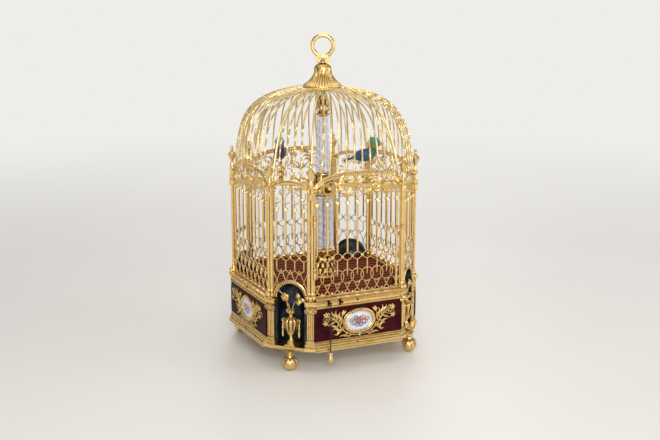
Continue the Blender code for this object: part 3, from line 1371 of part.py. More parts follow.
def lever(which):
    """A lever in its slot; the song lever has an eye for the cord."""
    x = LEVER_STATIONS[which]
    front = -POST_LINE - MOULDING_REACH - LEVER_REACH
    z = SLOT_HEIGHT + SLOT_TALL / 2 - LEVER_RADIUS - 2 * GAP
    made = wire("lever", [(x, front + LEVER_LENGTH, z), (x, front, z)], LEVER_RADIUS, 1)
    head = box("head", (x - LEVER_RADIUS, front - LEVER_RADIUS, z - LEVER_RADIUS),
               (x + LEVER_RADIUS, front + LEVER_RADIUS, z + LEVER_RADIUS * 1.4))
    made = combine(made, [head])
    return deliver(made, which + "_lever", "gilt_shade", (x, front, z))


def cord_and_pull():
    """The silk cord that hangs from the song lever, and its acorn pull."""
    x = LEVER_STATIONS["song"]
    y = -POST_LINE - MOULDING_REACH - LEVER_REACH
    lever_z = SLOT_HEIGHT + SLOT_TALL / 2 - LEVER_RADIUS - 2 * GAP
    top = lever_z - LEVER_RADIUS - GAP
    route = [Vector((x, y, top)), Vector((x, y, top - CORD_STRAIGHT)),
             Vector((x + CORD_SWAY, y, (top + CORD_BOTTOM) / 2)),
             Vector((x, y, CORD_BOTTOM + CORD_STRAIGHT)), Vector((x, y, CORD_BOTTOM))]
    cord = wire("cord", smooth(route, CORD_STEPS), CORD_RADIUS, 1)
    deliver(cord, "pull_cord", "silk_green")
    r, high = PULL_RADIUS, CORD_BOTTOM - GAP
    low = high - PULL_TALL
    pull = turned("pull", [(0, high), (r * 0.45, high), (r * 0.5, high - PULL_TALL * 0.18),
                           (r * 0.95, high - PULL_TALL * 0.45), (r, high - PULL_TALL * 0.8),
                           (r * 0.7, low), (0, low)], 8, x, y)
    deliver(pull, "cord_pull", "gilt")


def smooth(points, count):
    """Points of a Catmull-Rom curve through route points."""
    padded = [points[0] * 2 - points[1]] + points + [points[-1] * 2 - points[-2]]
    out = []
    for k in range(count):
        t = k / (count - 1) * (len(points) - 1)
        i = min(int(t), len(points) - 2)
        u = t - i
        a, b, c, d = padded[i:i + 4]
        out.append(0.5 * ((2 * b) + (c - a) * u + (2 * a - 5 * b + 4 * c - d) * u * u
                          + (3 * b - a - 3 * c + d) * u ** 3))
    return out


def build():
    """Model every piece."""
    plinth_frame = plinth()
    cut_frame(plinth_frame)
    cage_floor()
    for where, degrees in SHORT_FACES.items():
        niche(where, degrees)
        urn_foot(where, degrees)
        corner_bay(where, degrees)
    for where, degrees in LONG_FACES.items():
        panel(where, degrees)
        medallion(where, degrees)
        if where != "front":
            deliver(turn(long_sheet("grille_" + where), degrees), "grille_" + where, "gilt")
    door()
    hinge_rod()
    latch()
    dome()
    crown()
    hanging_ring()
    beam()
    fountain()
    for side in ("left", "right"):
        perch(side)
        bird(side)
    clock()
    movement()
    for which in LEVER_STATIONS:
        lever(which)
    cord_and_pull()


def cut_frame(frame):
    """Bore the shelves for the urns' stems."""
    for bore in shelf_bores():
        step = frame.modifiers.new("bore", "BOOLEAN")
        step.operation = "DIFFERENCE"
        step.object = bore
        bore.hide_render = True
        bore.display_type = "WIRE"


clear_scene()
MODEL = collection("cage_automaton")
WORK = collection("cutters")
STAND = bpy.data.objects.new("stand", None)
MODEL.objects.link(STAND)
build()
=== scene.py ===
"""Looks of the gilt birdcage automaton clock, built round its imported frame.

Sizes are in millimetres until a mesh is written, which turns them to metres.  A face of the cage is
worked out in its own frame, x along the face, -y outwards and z up, and is then turned about the
cage's axis: 0 degrees is the front.
"""
from __future__ import annotations

import json
import logging
from collections.abc import Callable, Sequence
from dataclasses import dataclass
from enum import Enum
from math import atan2, degrees, hypot, pi, radians, tau

import bpy
import numpy as np
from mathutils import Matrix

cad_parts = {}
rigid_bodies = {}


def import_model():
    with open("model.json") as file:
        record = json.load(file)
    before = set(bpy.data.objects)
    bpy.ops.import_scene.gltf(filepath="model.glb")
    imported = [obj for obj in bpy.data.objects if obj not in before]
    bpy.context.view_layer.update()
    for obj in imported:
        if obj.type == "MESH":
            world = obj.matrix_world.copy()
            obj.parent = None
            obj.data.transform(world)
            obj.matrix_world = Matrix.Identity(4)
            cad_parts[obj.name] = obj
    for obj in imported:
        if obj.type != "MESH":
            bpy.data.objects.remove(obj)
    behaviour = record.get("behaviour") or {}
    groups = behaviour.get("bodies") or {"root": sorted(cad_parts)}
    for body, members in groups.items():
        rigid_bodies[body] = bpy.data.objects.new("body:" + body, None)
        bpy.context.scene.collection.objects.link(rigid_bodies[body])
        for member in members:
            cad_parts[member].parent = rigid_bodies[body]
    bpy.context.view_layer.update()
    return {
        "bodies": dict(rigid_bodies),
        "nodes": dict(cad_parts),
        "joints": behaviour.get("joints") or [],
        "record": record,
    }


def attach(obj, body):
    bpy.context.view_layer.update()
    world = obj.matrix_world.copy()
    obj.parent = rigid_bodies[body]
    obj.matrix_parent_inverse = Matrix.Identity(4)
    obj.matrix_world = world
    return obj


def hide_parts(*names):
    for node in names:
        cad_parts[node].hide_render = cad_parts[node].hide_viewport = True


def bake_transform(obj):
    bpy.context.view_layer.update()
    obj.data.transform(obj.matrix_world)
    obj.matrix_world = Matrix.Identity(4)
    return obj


Array = np.ndarray
MM = 0.001
LOG = logging.getLogger("cage")
SHARP = radians(38)
OUTWARD = (0.0, -1.0, 0.0)
LONG_FACES = {"front": 0, "right": 90, "back": 180, "left": 270}
SHORT_FACES = {"front_right": 45, "back_right": 135, "back_left": 225, "front_left": 315}
# Where the birds' perches stand on the beam, in millimetres
PERCHES = {"left": (-59.02, 37.08), "right": (59.02, -37.08)}
# The door's pivot rod and the bore of the eyes on it, the line of its bolt, and the bolt's staples
PIVOT, PIVOT_BORE = (-74.55, -130.7), 1.25
BOLT_LINE = -129.5
STAPLE, STAPLE_BAR = (214.1, 219.9), 1.4


# Plan of the cage, as the frame has it


@dataclass(frozen=True)
class Plan:
    """Places that several pieces share, in millimetres."""

    post_line: float = 127.0
    long_half: float = 79.8
    niche_spring: float = 115.8
    long_spring: float = 257.5
    long_rise: float = 54.0
    short_spring: float = 282.0
    short_rise: float = 19.1

    @property
    def short_line(self) -> float:
        """Distance of a short face from the axis."""
        return (self.post_line + self.long_half) / 2 ** 0.5

    @property
    def short_half(self) -> float:
        """Half of the width of a short face."""
        return (self.post_line - self.long_half) / 2 ** 0.5

    @property
    def post_circle(self) -> float:
        """Distance of the posts from the axis."""
        return hypot(self.post_line, self.long_half)

    @property
    def corner_turn(self) -> float:
        """Angle from the middle of a long face to its post, in degrees."""
        return degrees(atan2(self.long_half, self.post_line))

    def post_turns(self, turn: float) -> tuple[float, float]:
        """Angles of the two posts at the ends of the short face that looks this way, in degrees."""
        return turn - (45 - self.corner_turn), turn + (45 - self.corner_turn)

    def long_arch(self, x: Array | float) -> Array:
        """Top of a long face's strap: rise times the cube root of 1 less the cube of the share."""
        share = np.clip(np.abs(x) / self.long_half, 0, 1)
        return self.long_spring + self.long_rise * (1 - share ** 3) ** (1 / 3)

    def short_arch(self, x: Array | float) -> Array:
        """Top of a short face's strap, half of an oval."""
        share = np.clip(np.abs(x) / self.short_half, 0, 1)
        return self.short_spring + self.short_rise * np.sqrt(1 - share ** 2)


PLAN = Plan()


# Surfaces worked out with numpy


def around(count: int) -> Array:
    """Angles of a full turn in even steps, in radians."""
    return np.arange(count) * tau / count


def points_of(*axes: Array | float) -> Array:
    """Points made of their coordinates: arrays and numbers, stretched to one shape and set side by side."""
    return np.stack(np.broadcast_arrays(*axes), axis=-1)


def circle(sides: int, wide: float = 1.0, tall: float = 1.0) -> Array:
    """A closed oval section: (wide cos t, tall sin t) at evenly spaced t."""
    t = around(sides)
    return points_of(wide * np.cos(t), tall * np.sin(t))


def lobed(sides: int, lobes: int, depth: float) -> Array:
    """A closed round section whose radius dips by depth between its lobes: 1 - depth sin²(n t / 2)."""
    t = around(sides)
    r = 1 - depth * np.sin(lobes * t / 2) ** 2
    return points_of(r * np.cos(t), r * np.sin(t))


def oblong(half: float, low: float, high: float) -> list[tuple[float, float]]:
    """A flat bar's section, from -half to half across and from low to high."""
    return [(-half, low), (half, low), (half, high), (-half, high)]


def smooth(keys: Sequence[Sequence[float]], count: int) -> Array:
    """A Catmull-Rom curve through key points.

    Args:
        keys: The points it passes through, each of any dimension.
        count: How many points to return.

    Returns:
        Points of the curve: on each span, the cubic whose ends slope as their neighbours' chord.
    """
    rows = np.asarray(keys, float)
    rows = np.vstack([2 * rows[0] - rows[1], rows, 2 * rows[-1] - rows[-2]])
    t = np.linspace(0, len(keys) - 1, count)
    i = np.minimum(t.astype(int), len(keys) - 2)
    u = (t - i)[:, None]
    a, b, c, d = (rows[i + k] for k in range(4))
    return 0.5 * (2 * b + (c - a) * u + (2 * a - 5 * b + 4 * c - d) * u ** 2
                  + (3 * b - a - 3 * c + d) * u ** 3)


def in_face(points: Array, y: float = 0.0) -> Array:
    """(x, z) points put in a face's plane, at a y."""
    points = np.asarray(points, float)
    return points_of(points[:, 0], y, points[:, 1])


def spiral(centre: Sequence[float], radii: Sequence[float], turns: Sequence[float], count: int,
           y: float = 0.0) -> Array:
    """A scroll in a face's plane, whose radius and angle both run evenly.

    Args:
        centre: Its x and z.
        radii: First and last radius.
        turns: First and last angle, in degrees from +x towards +z.
        count: How many points to return.
        y: Place of the plane.

    Returns:
        The points (x + r cos t, y, z + r sin t).
    """
    r, t = np.linspace(*radii, count), np.radians(np.linspace(*turns, count))
    return in_face(points_of(centre[0] + r * np.cos(t), centre[1] + r * np.sin(t)), y)


def sweep(path: Array, section: Sequence[Sequence[float]], size: Array | float = 1.0,
          normal: Sequence[float] = OUTWARD, twist: Array | float = 0.0, closed: bool = False) -> Array:
    """A section carried along a path.

    Args:
        path: Points of the path, (n, 3).
        section: Points of the closed section, (m, 2).
        size: Scale of the section: one number, one a point, or a pair a point.
        normal: The way the section's y looks, across the path.
        twist: Turn of the section at each point, in radians.
        closed: Whether the path's end meets its start.

    Returns:
        The grid path + side x + up y, (n, m, 3), where side is normal × tangent.
    """
    path = np.asarray(path, float)
    ahead, behind = np.roll(path, -1, 0), np.roll(path, 1, 0)
    along = ahead - behind if closed else np.gradient(path, axis=0)
    along /= np.linalg.norm(along, axis=1, keepdims=True) + 1e-12
    side = np.cross(np.broadcast_to(np.asarray(normal, float), path.shape), along)
    side /= np.linalg.norm(side, axis=1, keepdims=True) + 1e-12
    up = np.cross(along, side)
    scale = np.asarray(size, float)
    scale = scale[:, None] if scale.ndim == 1 else scale
    scale = np.broadcast_to(scale, (len(path), 2))
    section = np.asarray(section, float)
    x = section[None, :, 0] * scale[:, :1]
    y = section[None, :, 1] * scale[:, 1:]
    c, s = np.cos(np.asarray(twist)), np.sin(np.asarray(twist))
    c, s = (np.broadcast_to(v, (len(path),))[:, None] for v in (c, s))
    x, y = x * c - y * s, x * s + y * c
    return path[:, None] + side[:, None] * x[..., None] + up[:, None] * y[..., None]


def revolve(profile: Sequence[Sequence[float]], sides: int, lobes: int = 0,
            depth: Sequence[float] | float = 0.0, at: Sequence[float] = (0.0, 0.0)) -> Array:
    """A profile turned about an upright axis.

    Args:
        profile: (radius, height) points, from the bottom up.
        sides: Steps round.
        lobes: Number of gadroons or flutes.
        depth: Share by which the radius falls between them, one number or one a point.
        at: The x and y of the axis.

    Returns:
        The grid (r cos t, r sin t, z), with r times 1 - depth (1 - |cos(lobes t / 2)|).
    """
    rows = np.asarray(profile, float)
    t = around(sides)
    dip = 1 - np.abs(np.cos(lobes * t / 2)) if lobes else np.zeros(sides)
    fall = np.broadcast_to(np.asarray(depth, float), (len(rows),))
    r = rows[:, :1] * (1 - fall[:, None] * dip[None])
    return points_of(r * np.cos(t), r * np.sin(t), rows[:, 1:]) + (*at, 0.0)


def hollow(profile: Sequence[Sequence[float]], bore: float, sides: int,
           at: Sequence[float] = (0.0, 0.0)) -> Array:
    """A turned ring: a profile up the outside and back down a bore, to be added as a loop."""
    return revolve([*profile, (bore, profile[-1][1]), (bore, profile[0][1])], sides, at=at)


def ball(centre: Sequence[float], radius: float, sides: int = 8, rows: int = 5,
         squash: float = 1.0) -> Array:
    """A round bead: r cos a and squash r sin a turned about the upright, a from pole to pole."""
    a = np.linspace(-pi / 2, pi / 2, rows)
    grid = revolve(points_of(radius * np.cos(a), squash * radius * np.sin(a)), sides)
    return grid + np.asarray(centre, float)


def block(low: Sequence[float], high: Sequence[float], bevel: float = 0.4) -> Array:
    """A block with bevelled edges: an eight-cornered plan, drawn in at its foot and head."""
    low, high = np.asarray(low, float), np.asarray(high, float)
    bevel = min(bevel, *((high - low) * 0.45))
    rows = []
    for inset, z in ((bevel, low[2]), (0.0, low[2] + bevel), (0.0, high[2] - bevel), (bevel, high[2])):
        (x0, y0), (x1, y1) = low[:2] + inset, high[:2] - inset
        b = bevel
        rows.append([
            (x0 + b, y0, z), (x1 - b, y0, z), (x1, y0 + b, z), (x1, y1 - b, z), (x1 - b, y1, z),
            (x0 + b, y1, z), (x0, y1 - b, z), (x0, y0 + b, z)])
    return np.asarray(rows)


def leaf(keys: Sequence[Sequence[float]], width: float, thick: float = 0.55, steps: int = 9,
         sides: int = 6, normal: Sequence[float] = OUTWARD, blunt: float = 0.8) -> Array:
    """A pointed leaf or petal along a smooth path.

    Args:
        keys: Points of its midrib, from root to tip.
        width: Half of its width where it is widest.
        thick: Half of its thickness.
        steps: Points along it.
        sides: Points round it.
        normal: The way its face looks.
        blunt: Power of the outline; under 1 is fuller.

    Returns:
        A swept oval, of width sin(pi s^0.75)^blunt and thickness falling to nothing at both ends.
    """
    s = np.linspace(0.02, 1, steps)
    wide = width * np.sin(pi * s ** 0.75) ** blunt + 0.25 * thick * (1 - s)
    tall = thick * np.sqrt(np.sin(pi * np.clip(s, 0.12, 1) ** 0.9).clip(0))
    return sweep(smooth(keys, steps), circle(sides), points_of(wide, tall), normal)


def tube(keys: Array, radius: float | Array, sides: int = 6, normal: Sequence[float] = OUTWARD) -> Array:
    """A round wire along points."""
    return sweep(keys, circle(sides), radius, normal)


def placed(points: Array, turn: float = 0.0, shift: Sequence[float] = (0, 0, 0)) -> Array:
    """Points or a grid of them moved by a shift and then turned about the cage's axis, in degrees."""
    a = radians(turn)
    rotation = np.array([[np.cos(a), -np.sin(a), 0], [np.sin(a), np.cos(a), 0], [0, 0, 1]])
    return ((points.reshape(-1, 3) + np.asarray(shift, float)) @ rotation.T).reshape(points.shape)


class Shell:
    """Closed skins of one piece, gathered as points and faces before they become a mesh."""

    def __init__(self) -> None:
        """Start with nothing."""
        self.points: list[Array] = []
        self.quads: list[Array] = []
        self.fans: list[Array] = []
        self.painted_shade: list[Array] = []
        self.paint: list[Array] = []
        self.flow: list[Array] = []
        self.count = 0

    def add(self, grid: Array, painted_shade: Sequence[float] | Array | float = 0.0, paint: Array | None = None,
            loop: bool = False, skin: bool = False) -> None:
        """Add a grid of points as a skin that faces outwards.

        Args:
            grid: (n, m, 3) points; the m of each row close round.
            painted_shade: Painted shade of each point, 0 to 1, as deep as it lies in the work: one number,
                one a row, or a grid.
            paint: Colour of each point, (n, m, 3).
            loop: Whether the last row meets the first; otherwise both ends are closed by fans.
            skin: An open sheet, which gets its wall from a modifier: neither way closes.
        """
        n, m = grid.shape[:2]
        shade = np.asarray(painted_shade, float)
        shade = np.broadcast_to(shade[:, None] if shade.ndim == 1 else shade, (n, m))
        colour = np.ones((n, m, 3)) if paint is None else paint
        flow = np.stack(np.broadcast_arrays(np.linspace(0, 1, m)[None], np.linspace(0, 1, n)[:, None],
                                            0.0), axis=-1)
        i = np.arange(n if loop else n - 1)
        j = np.arange(m - 1 if skin else m)
        a = i[:, None] * m + j[None]
        b = i[:, None] * m + (j[None] + 1) % m
        c, d = (b + m) % (n * m), (a + m) % (n * m)
        quads = np.stack([a, b, c, d], axis=-1).reshape(-1, 4)
        points = grid.reshape(-1, 3)
        fans = np.zeros((0, 3), int)
        extra = [shade.reshape(-1), colour.reshape(-1, 3), flow.reshape(-1, 3)]
        if not loop and not skin:
            ring = np.arange(m)
            ends = np.stack([grid[0].mean(0), grid[-1].mean(0)])
            low = np.stack([np.full(m, n * m), (ring + 1) % m, ring], axis=1)
            high = np.stack([np.full(m, n * m + 1), ring + (n - 1) * m, (ring + 1) % m + (n - 1) * m], axis=1)
            fans = np.vstack([low, high])
            points = np.vstack([points, ends])
            extra = [np.concatenate([e, e[[0, -1]]]) for e in extra]
        if not skin and self._volume(points, quads, fans) < 0:
            quads, fans = quads[:, ::-1], fans[:, ::-1]
        self.points.append(points)
        self.quads.append(quads + self.count)
        self.fans.append(fans + self.count)
        for store, values in zip((self.painted_shade, self.paint, self.flow), extra):
            store.append(values)
        self.count += len(points)

    @staticmethod
    def _volume(points: Array, quads: Array, fans: Array) -> float:
        """Six times the volume inside a skin: the sum of a · (b × c) over its triangles."""
        tris = np.vstack([quads[:, [0, 1, 2]], quads[:, [0, 2, 3]], fans])
        a, b, c = (points[tris[:, k]] - points[0] for k in range(3))
        return float(np.einsum("ij,ij->", a, np.cross(b, c)))

    def join(self, other: Shell, turn: float = 0.0, shift: Sequence[float] = (0, 0, 0),
             mirror: bool = False) -> None:
        """Take in a copy of another shell, moved, turned about the axis and perhaps mirrored in x."""
        points = np.vstack(other.points) * ((-1, 1, 1) if mirror else (1, 1, 1))
        quads, fans = np.vstack(other.quads), np.vstack(other.fans)
        if mirror:
            quads, fans = quads[:, ::-1], fans[:, ::-1]
        self.points.append(placed(points, turn, shift))
        self.quads.append(quads + self.count)
        self.fans.append(fans + self.count)
        for store, values in zip((self.painted_shade, self.paint, self.flow),
                                 (other.painted_shade, other.paint, other.flow)):
            store.append(np.concatenate(values))
        self.count += len(points)

    def join_both(self, half: Shell) -> None:
        """Take in a half and its mirror image in x."""
        for mirror in (False, True):
            self.join(half, mirror=mirror)

    def turned(self, turn: float, shift: Sequence[float] = (0, 0, 0)) -> Shell:
        """A copy, moved and then turned about the axis."""
        made = Shell()
        made.join(self, turn, shift)
        return made

    def piece(self, name: str, finish: Finish, body: str = "cage", stands_for: Sequence[str] = (),
              wall: float = 0.0) -> bpy.types.Object:
        """Write the mesh, dress it and hand it to the frame.

        Args:
            name: Name of the piece.
            finish: What it is made of.
            body: The body that it rides on, or nothing for a piece that rides on no body here.
            stands_for: Nodes of the frame that it replaces.
            wall: Thickness that a modifier gives to an open sheet.

        Returns:
            The new object, at the origin.
        """
        quads, fans = np.vstack(self.quads), np.vstack(self.fans)
        mesh = bpy.data.meshes.new(name)
        points = np.vstack(self.points) * MM
        mesh.vertices.add(len(points))
        mesh.vertices.foreach_set("co", points.ravel())
        corners = np.concatenate([quads.ravel(), fans.ravel()])
        mesh.loops.add(len(corners))
        mesh.loops.foreach_set("vertex_index", corners.astype(np.int32))
        starts = np.concatenate([np.arange(len(quads)) * 4, len(quads) * 4 + np.arange(len(fans)) * 3])
        mesh.polygons.add(len(starts))
        mesh.polygons.foreach_set("loop_start", starts.astype(np.int32))
        mesh.update(calc_edges=True)
        # Each point's painted shade goes on the mesh, for the material to darken its colour by.
        mesh.attributes.new("painted_shade", "FLOAT", "POINT").data.foreach_set(
            "value", np.concatenate(self.painted_shade).astype(np.float32))
        mesh.attributes.new("flow", "FLOAT_VECTOR", "POINT").data.foreach_set(
            "vector", np.vstack(self.flow).astype(np.float32).ravel())
        if finish.painted:
            colours = np.hstack([np.vstack(self.paint), np.ones((self.count, 1))])
            mesh.attributes.new("paint", "FLOAT_COLOR", "POINT").data.foreach_set(
                "color", colours.astype(np.float32).ravel())
        mesh.validate()
        made = bpy.data.objects.new(name, mesh)
        bpy.context.scene.collection.objects.link(made)
        if wall:
            solid = made.modifiers.new("wall", "SOLIDIFY")
            solid.thickness = wall * MM
            solid.offset = 0.0
        mesh.shade_smooth()
        mesh.set_sharp_from_angle(angle=SHARP)
        dress(made, finish)
        if body:
            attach(made, body)
        if stands_for:
            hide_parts(*stands_for)
        LOG.info("%s: %d faces on %s", name, len(starts), body or "two bodies")
        return made


# Finishes


class Pattern(Enum):
    """How a finish's colour and relief run over the surface."""

    GRAIN = "grain"
    BRUSHED = "brushed"
    STIPPLED = "stippled"
    CLOUDED = "clouded"
    SLATTED = "slatted"
    TWISTED = "twisted"
    FEATHERED = "feathered"


@dataclass(frozen=True)
class Finish:
    """One finish: what the material is, and how its surface was made.

    Attributes:
        name: Its common name.
        slot: The record's material slot; nothing here reads it.
        colours: sRGB hex of the painted shade in hollows, also the darkest of clouds and slats, of the body
            and of the rubbed places.
        metallic: 1 for bare metal.
        roughness: Typical roughness.
        spread: How far the roughness strays either way.
        grain: Size of the colour's patches, in millimetres.
        tooth: Size of the relief, in millimetres.
        relief: Height of the relief, in millimetres.
        pattern: How both run.
        painted: Whether the body colour is the piece's own paint attribute.
        coat: Clear coat over it.
        clear: How much light passes through it.
        sheen: Soft sheen of fibres.
        specular: Strength of the surface's own mirror light.
    """

    name: str
    slot: str
    colours: tuple[str, str, str]
    metallic: float = 1.0
    roughness: float = 0.3
    spread: float = 0.08
    grain: float = 9.0
    tooth: float = 1.6
    relief: float = 0.06
    pattern: Pattern = Pattern.GRAIN
    painted: bool = False
    coat: float = 0.0
    clear: float = 0.0
    sheen: float = 0.0
    specular: float = 0.5


# Fire-gilt brass: gold burnished bright on wires and mouldings, with painted brown shade in its hollows and
# between parts
GILT = Finish("fire_gilt_brass", "gilt", ("744614", "EAC57A", "FFF0C8"), roughness=0.31)
# Chased and matted gilding on leaves and castings: a fine punched ground that breaks up the shine
CHASED = Finish("chased_gilding", "gilt", ("633B10", "E4BE72", "FFEEC2"), roughness=0.37, tooth=1.1,
                relief=0.12, pattern=Pattern.STIPPLED)
# Drawn gilt wire of the dome, with lines along its length
DRAWN = Finish("drawn_gilt_wire", "gilt", ("84561F", "EED396", "FFF4D4"), roughness=0.34, grain=5.0,
               tooth=0.9, relief=0.04)
MOVEMENT_BRASS = Finish("matt_gilt_movement", "gilt_shade", ("4A2A0A", "B9812F", "E6BC6C"),
                        roughness=0.4, pattern=Pattern.BRUSHED)
BLUED_STEEL = Finish("blued_steel", "steel", ("0D1220", "26345C", "5B6E9C"), roughness=0.3,
                     pattern=Pattern.BRUSHED)
# Translucent enamel fired over copper: deep wine red under a glassy skin
ENAMEL = Finish("wine_red_enamel", "maroon_enamel", ("26080C", "390E14", "46141A"), metallic=0.0,
                roughness=0.4, grain=14.0, tooth=7.0, relief=0.05, specular=0.05,
                pattern=Pattern.CLOUDED)
# Smoke-blue lacquer of the niches, cloudy with age
LACQUER = Finish("smoke_blue_lacquer", "niche_blue", ("050609", "131A24", "3B444F"), metallic=0.0,
                 roughness=0.38, grain=15.0, tooth=3.0, relief=0.05, coat=0.15, specular=0.3,
                 pattern=Pattern.CLOUDED)
PORCELAIN = Finish("painted_enamel_plaque", "porcelain", ("9A9AA8", "E4E2EC", "FFFFFF"), metallic=0.0,
                   roughness=0.14, grain=3.0, tooth=2.0, relief=0.02, painted=True, coat=0.7)
DIAL_ENAMEL = Finish("vitreous_dial_enamel", "porcelain", ("B8B2A2", "EFEAE0", "FBF8F2"), metallic=0.0,
                     roughness=0.16, grain=30.0, tooth=9.0, relief=0.03, coat=0.6)
DIAL_BLACK = Finish("black_dial_enamel", "porcelain", ("050505", "141312", "1F1D1B"), metallic=0.0,
                    roughness=0.25)
FLOOR_LACQUER = Finish("wine_red_floor_lacquer", "floor_red", ("120304", "481214", "84402A"),
                       metallic=0.0, roughness=0.7, grain=8.0, tooth=2.0, relief=0.3, specular=0.03,
                       pattern=Pattern.SLATTED)
# Twisted rods of glass, milky inside: bright white ridges, with blue-grey painted shade in the grooves
GLASS = Finish("twisted_milky_glass", "glass", ("70748A", "F4F4FA", "FFFFFF"), metallic=0.0,
               roughness=0.12, spread=0.04, grain=1.9, tooth=1.7, relief=0.35, clear=0.1)
PLUMAGE = Finish("painted_plumage", "indigo_feather", ("0A0A18", "808080", "B0B0B0"), metallic=0.15,
                 roughness=0.5, tooth=1.2, relief=0.15, pattern=Pattern.FEATHERED, painted=True,
                 sheen=0.35)
GREEN_PLUMAGE = Finish("painted_green_plumage", "teal_feather", ("0A0A18", "808080", "B0B0B0"),
                       metallic=0.15, roughness=0.5, tooth=1.2, relief=0.15,
                       pattern=Pattern.FEATHERED, painted=True, sheen=0.35)
BEAK = Finish("coral_beak_lacquer", "beak_coral", ("6B2A1C", "D98A6C", "F2C4A8"), metallic=0.0,
              roughness=0.35, grain=2.0, coat=0.2)
KID = Finish("kid_skin", "bellows_leather", ("2C1A0E", "8A6240", "B08A62"), metallic=0.0,
             roughness=0.62, grain=5.0, tooth=0.8, relief=0.12, pattern=Pattern.STIPPLED, sheen=0.2)
SILK = Finish("twisted_green_silk", "silk_green", ("010604", "06200F", "17502F"), metallic=0.0,
              roughness=0.6, grain=1.2, tooth=0.5, relief=0.08, sheen=0.12, specular=0.2,
              pattern=Pattern.TWISTED)
# Blackened brass of the levers and of the screws' sunk heads
BLACKENED = Finish("blackened_brass", "gilt_shade", ("060403", "1C130B", "5A3F1C"), metallic=0.8,
                   roughness=0.42, grain=2.0, pattern=Pattern.BRUSHED)


def linear(code: str) -> tuple[float, float, float, float]:
    """An sRGB hex colour as linear red, green, blue and alpha."""
    parts = np.array([int(code[k:k + 2], 16) for k in (0, 2, 4)]) / 255
    values = np.where(parts <= 0.04045, parts / 12.92, ((parts + 0.055) / 1.055) ** 2.4)
    return (*values.tolist(), 1.0)


def node(tree: bpy.types.NodeTree, kind: str, inputs: dict | None = None,
         **settings: object) -> bpy.types.Node:
    """Add a shader node.

    Args:
        tree: The tree it joins.
        kind: Its type, without the ShaderNode in front.
        inputs: Values or sockets by input name or number; a socket is linked.
        **settings: Properties of the node.

    Returns:
        The node.
    """
    made = tree.nodes.new("ShaderNode" + kind)
    for key, value in settings.items():
        setattr(made, key, value)
    for key, value in (inputs or {}).items():
        if isinstance(value, bpy.types.NodeSocket):
            tree.links.new(value, made.inputs[key])
        else:
            made.inputs[key].default_value = value
    return made


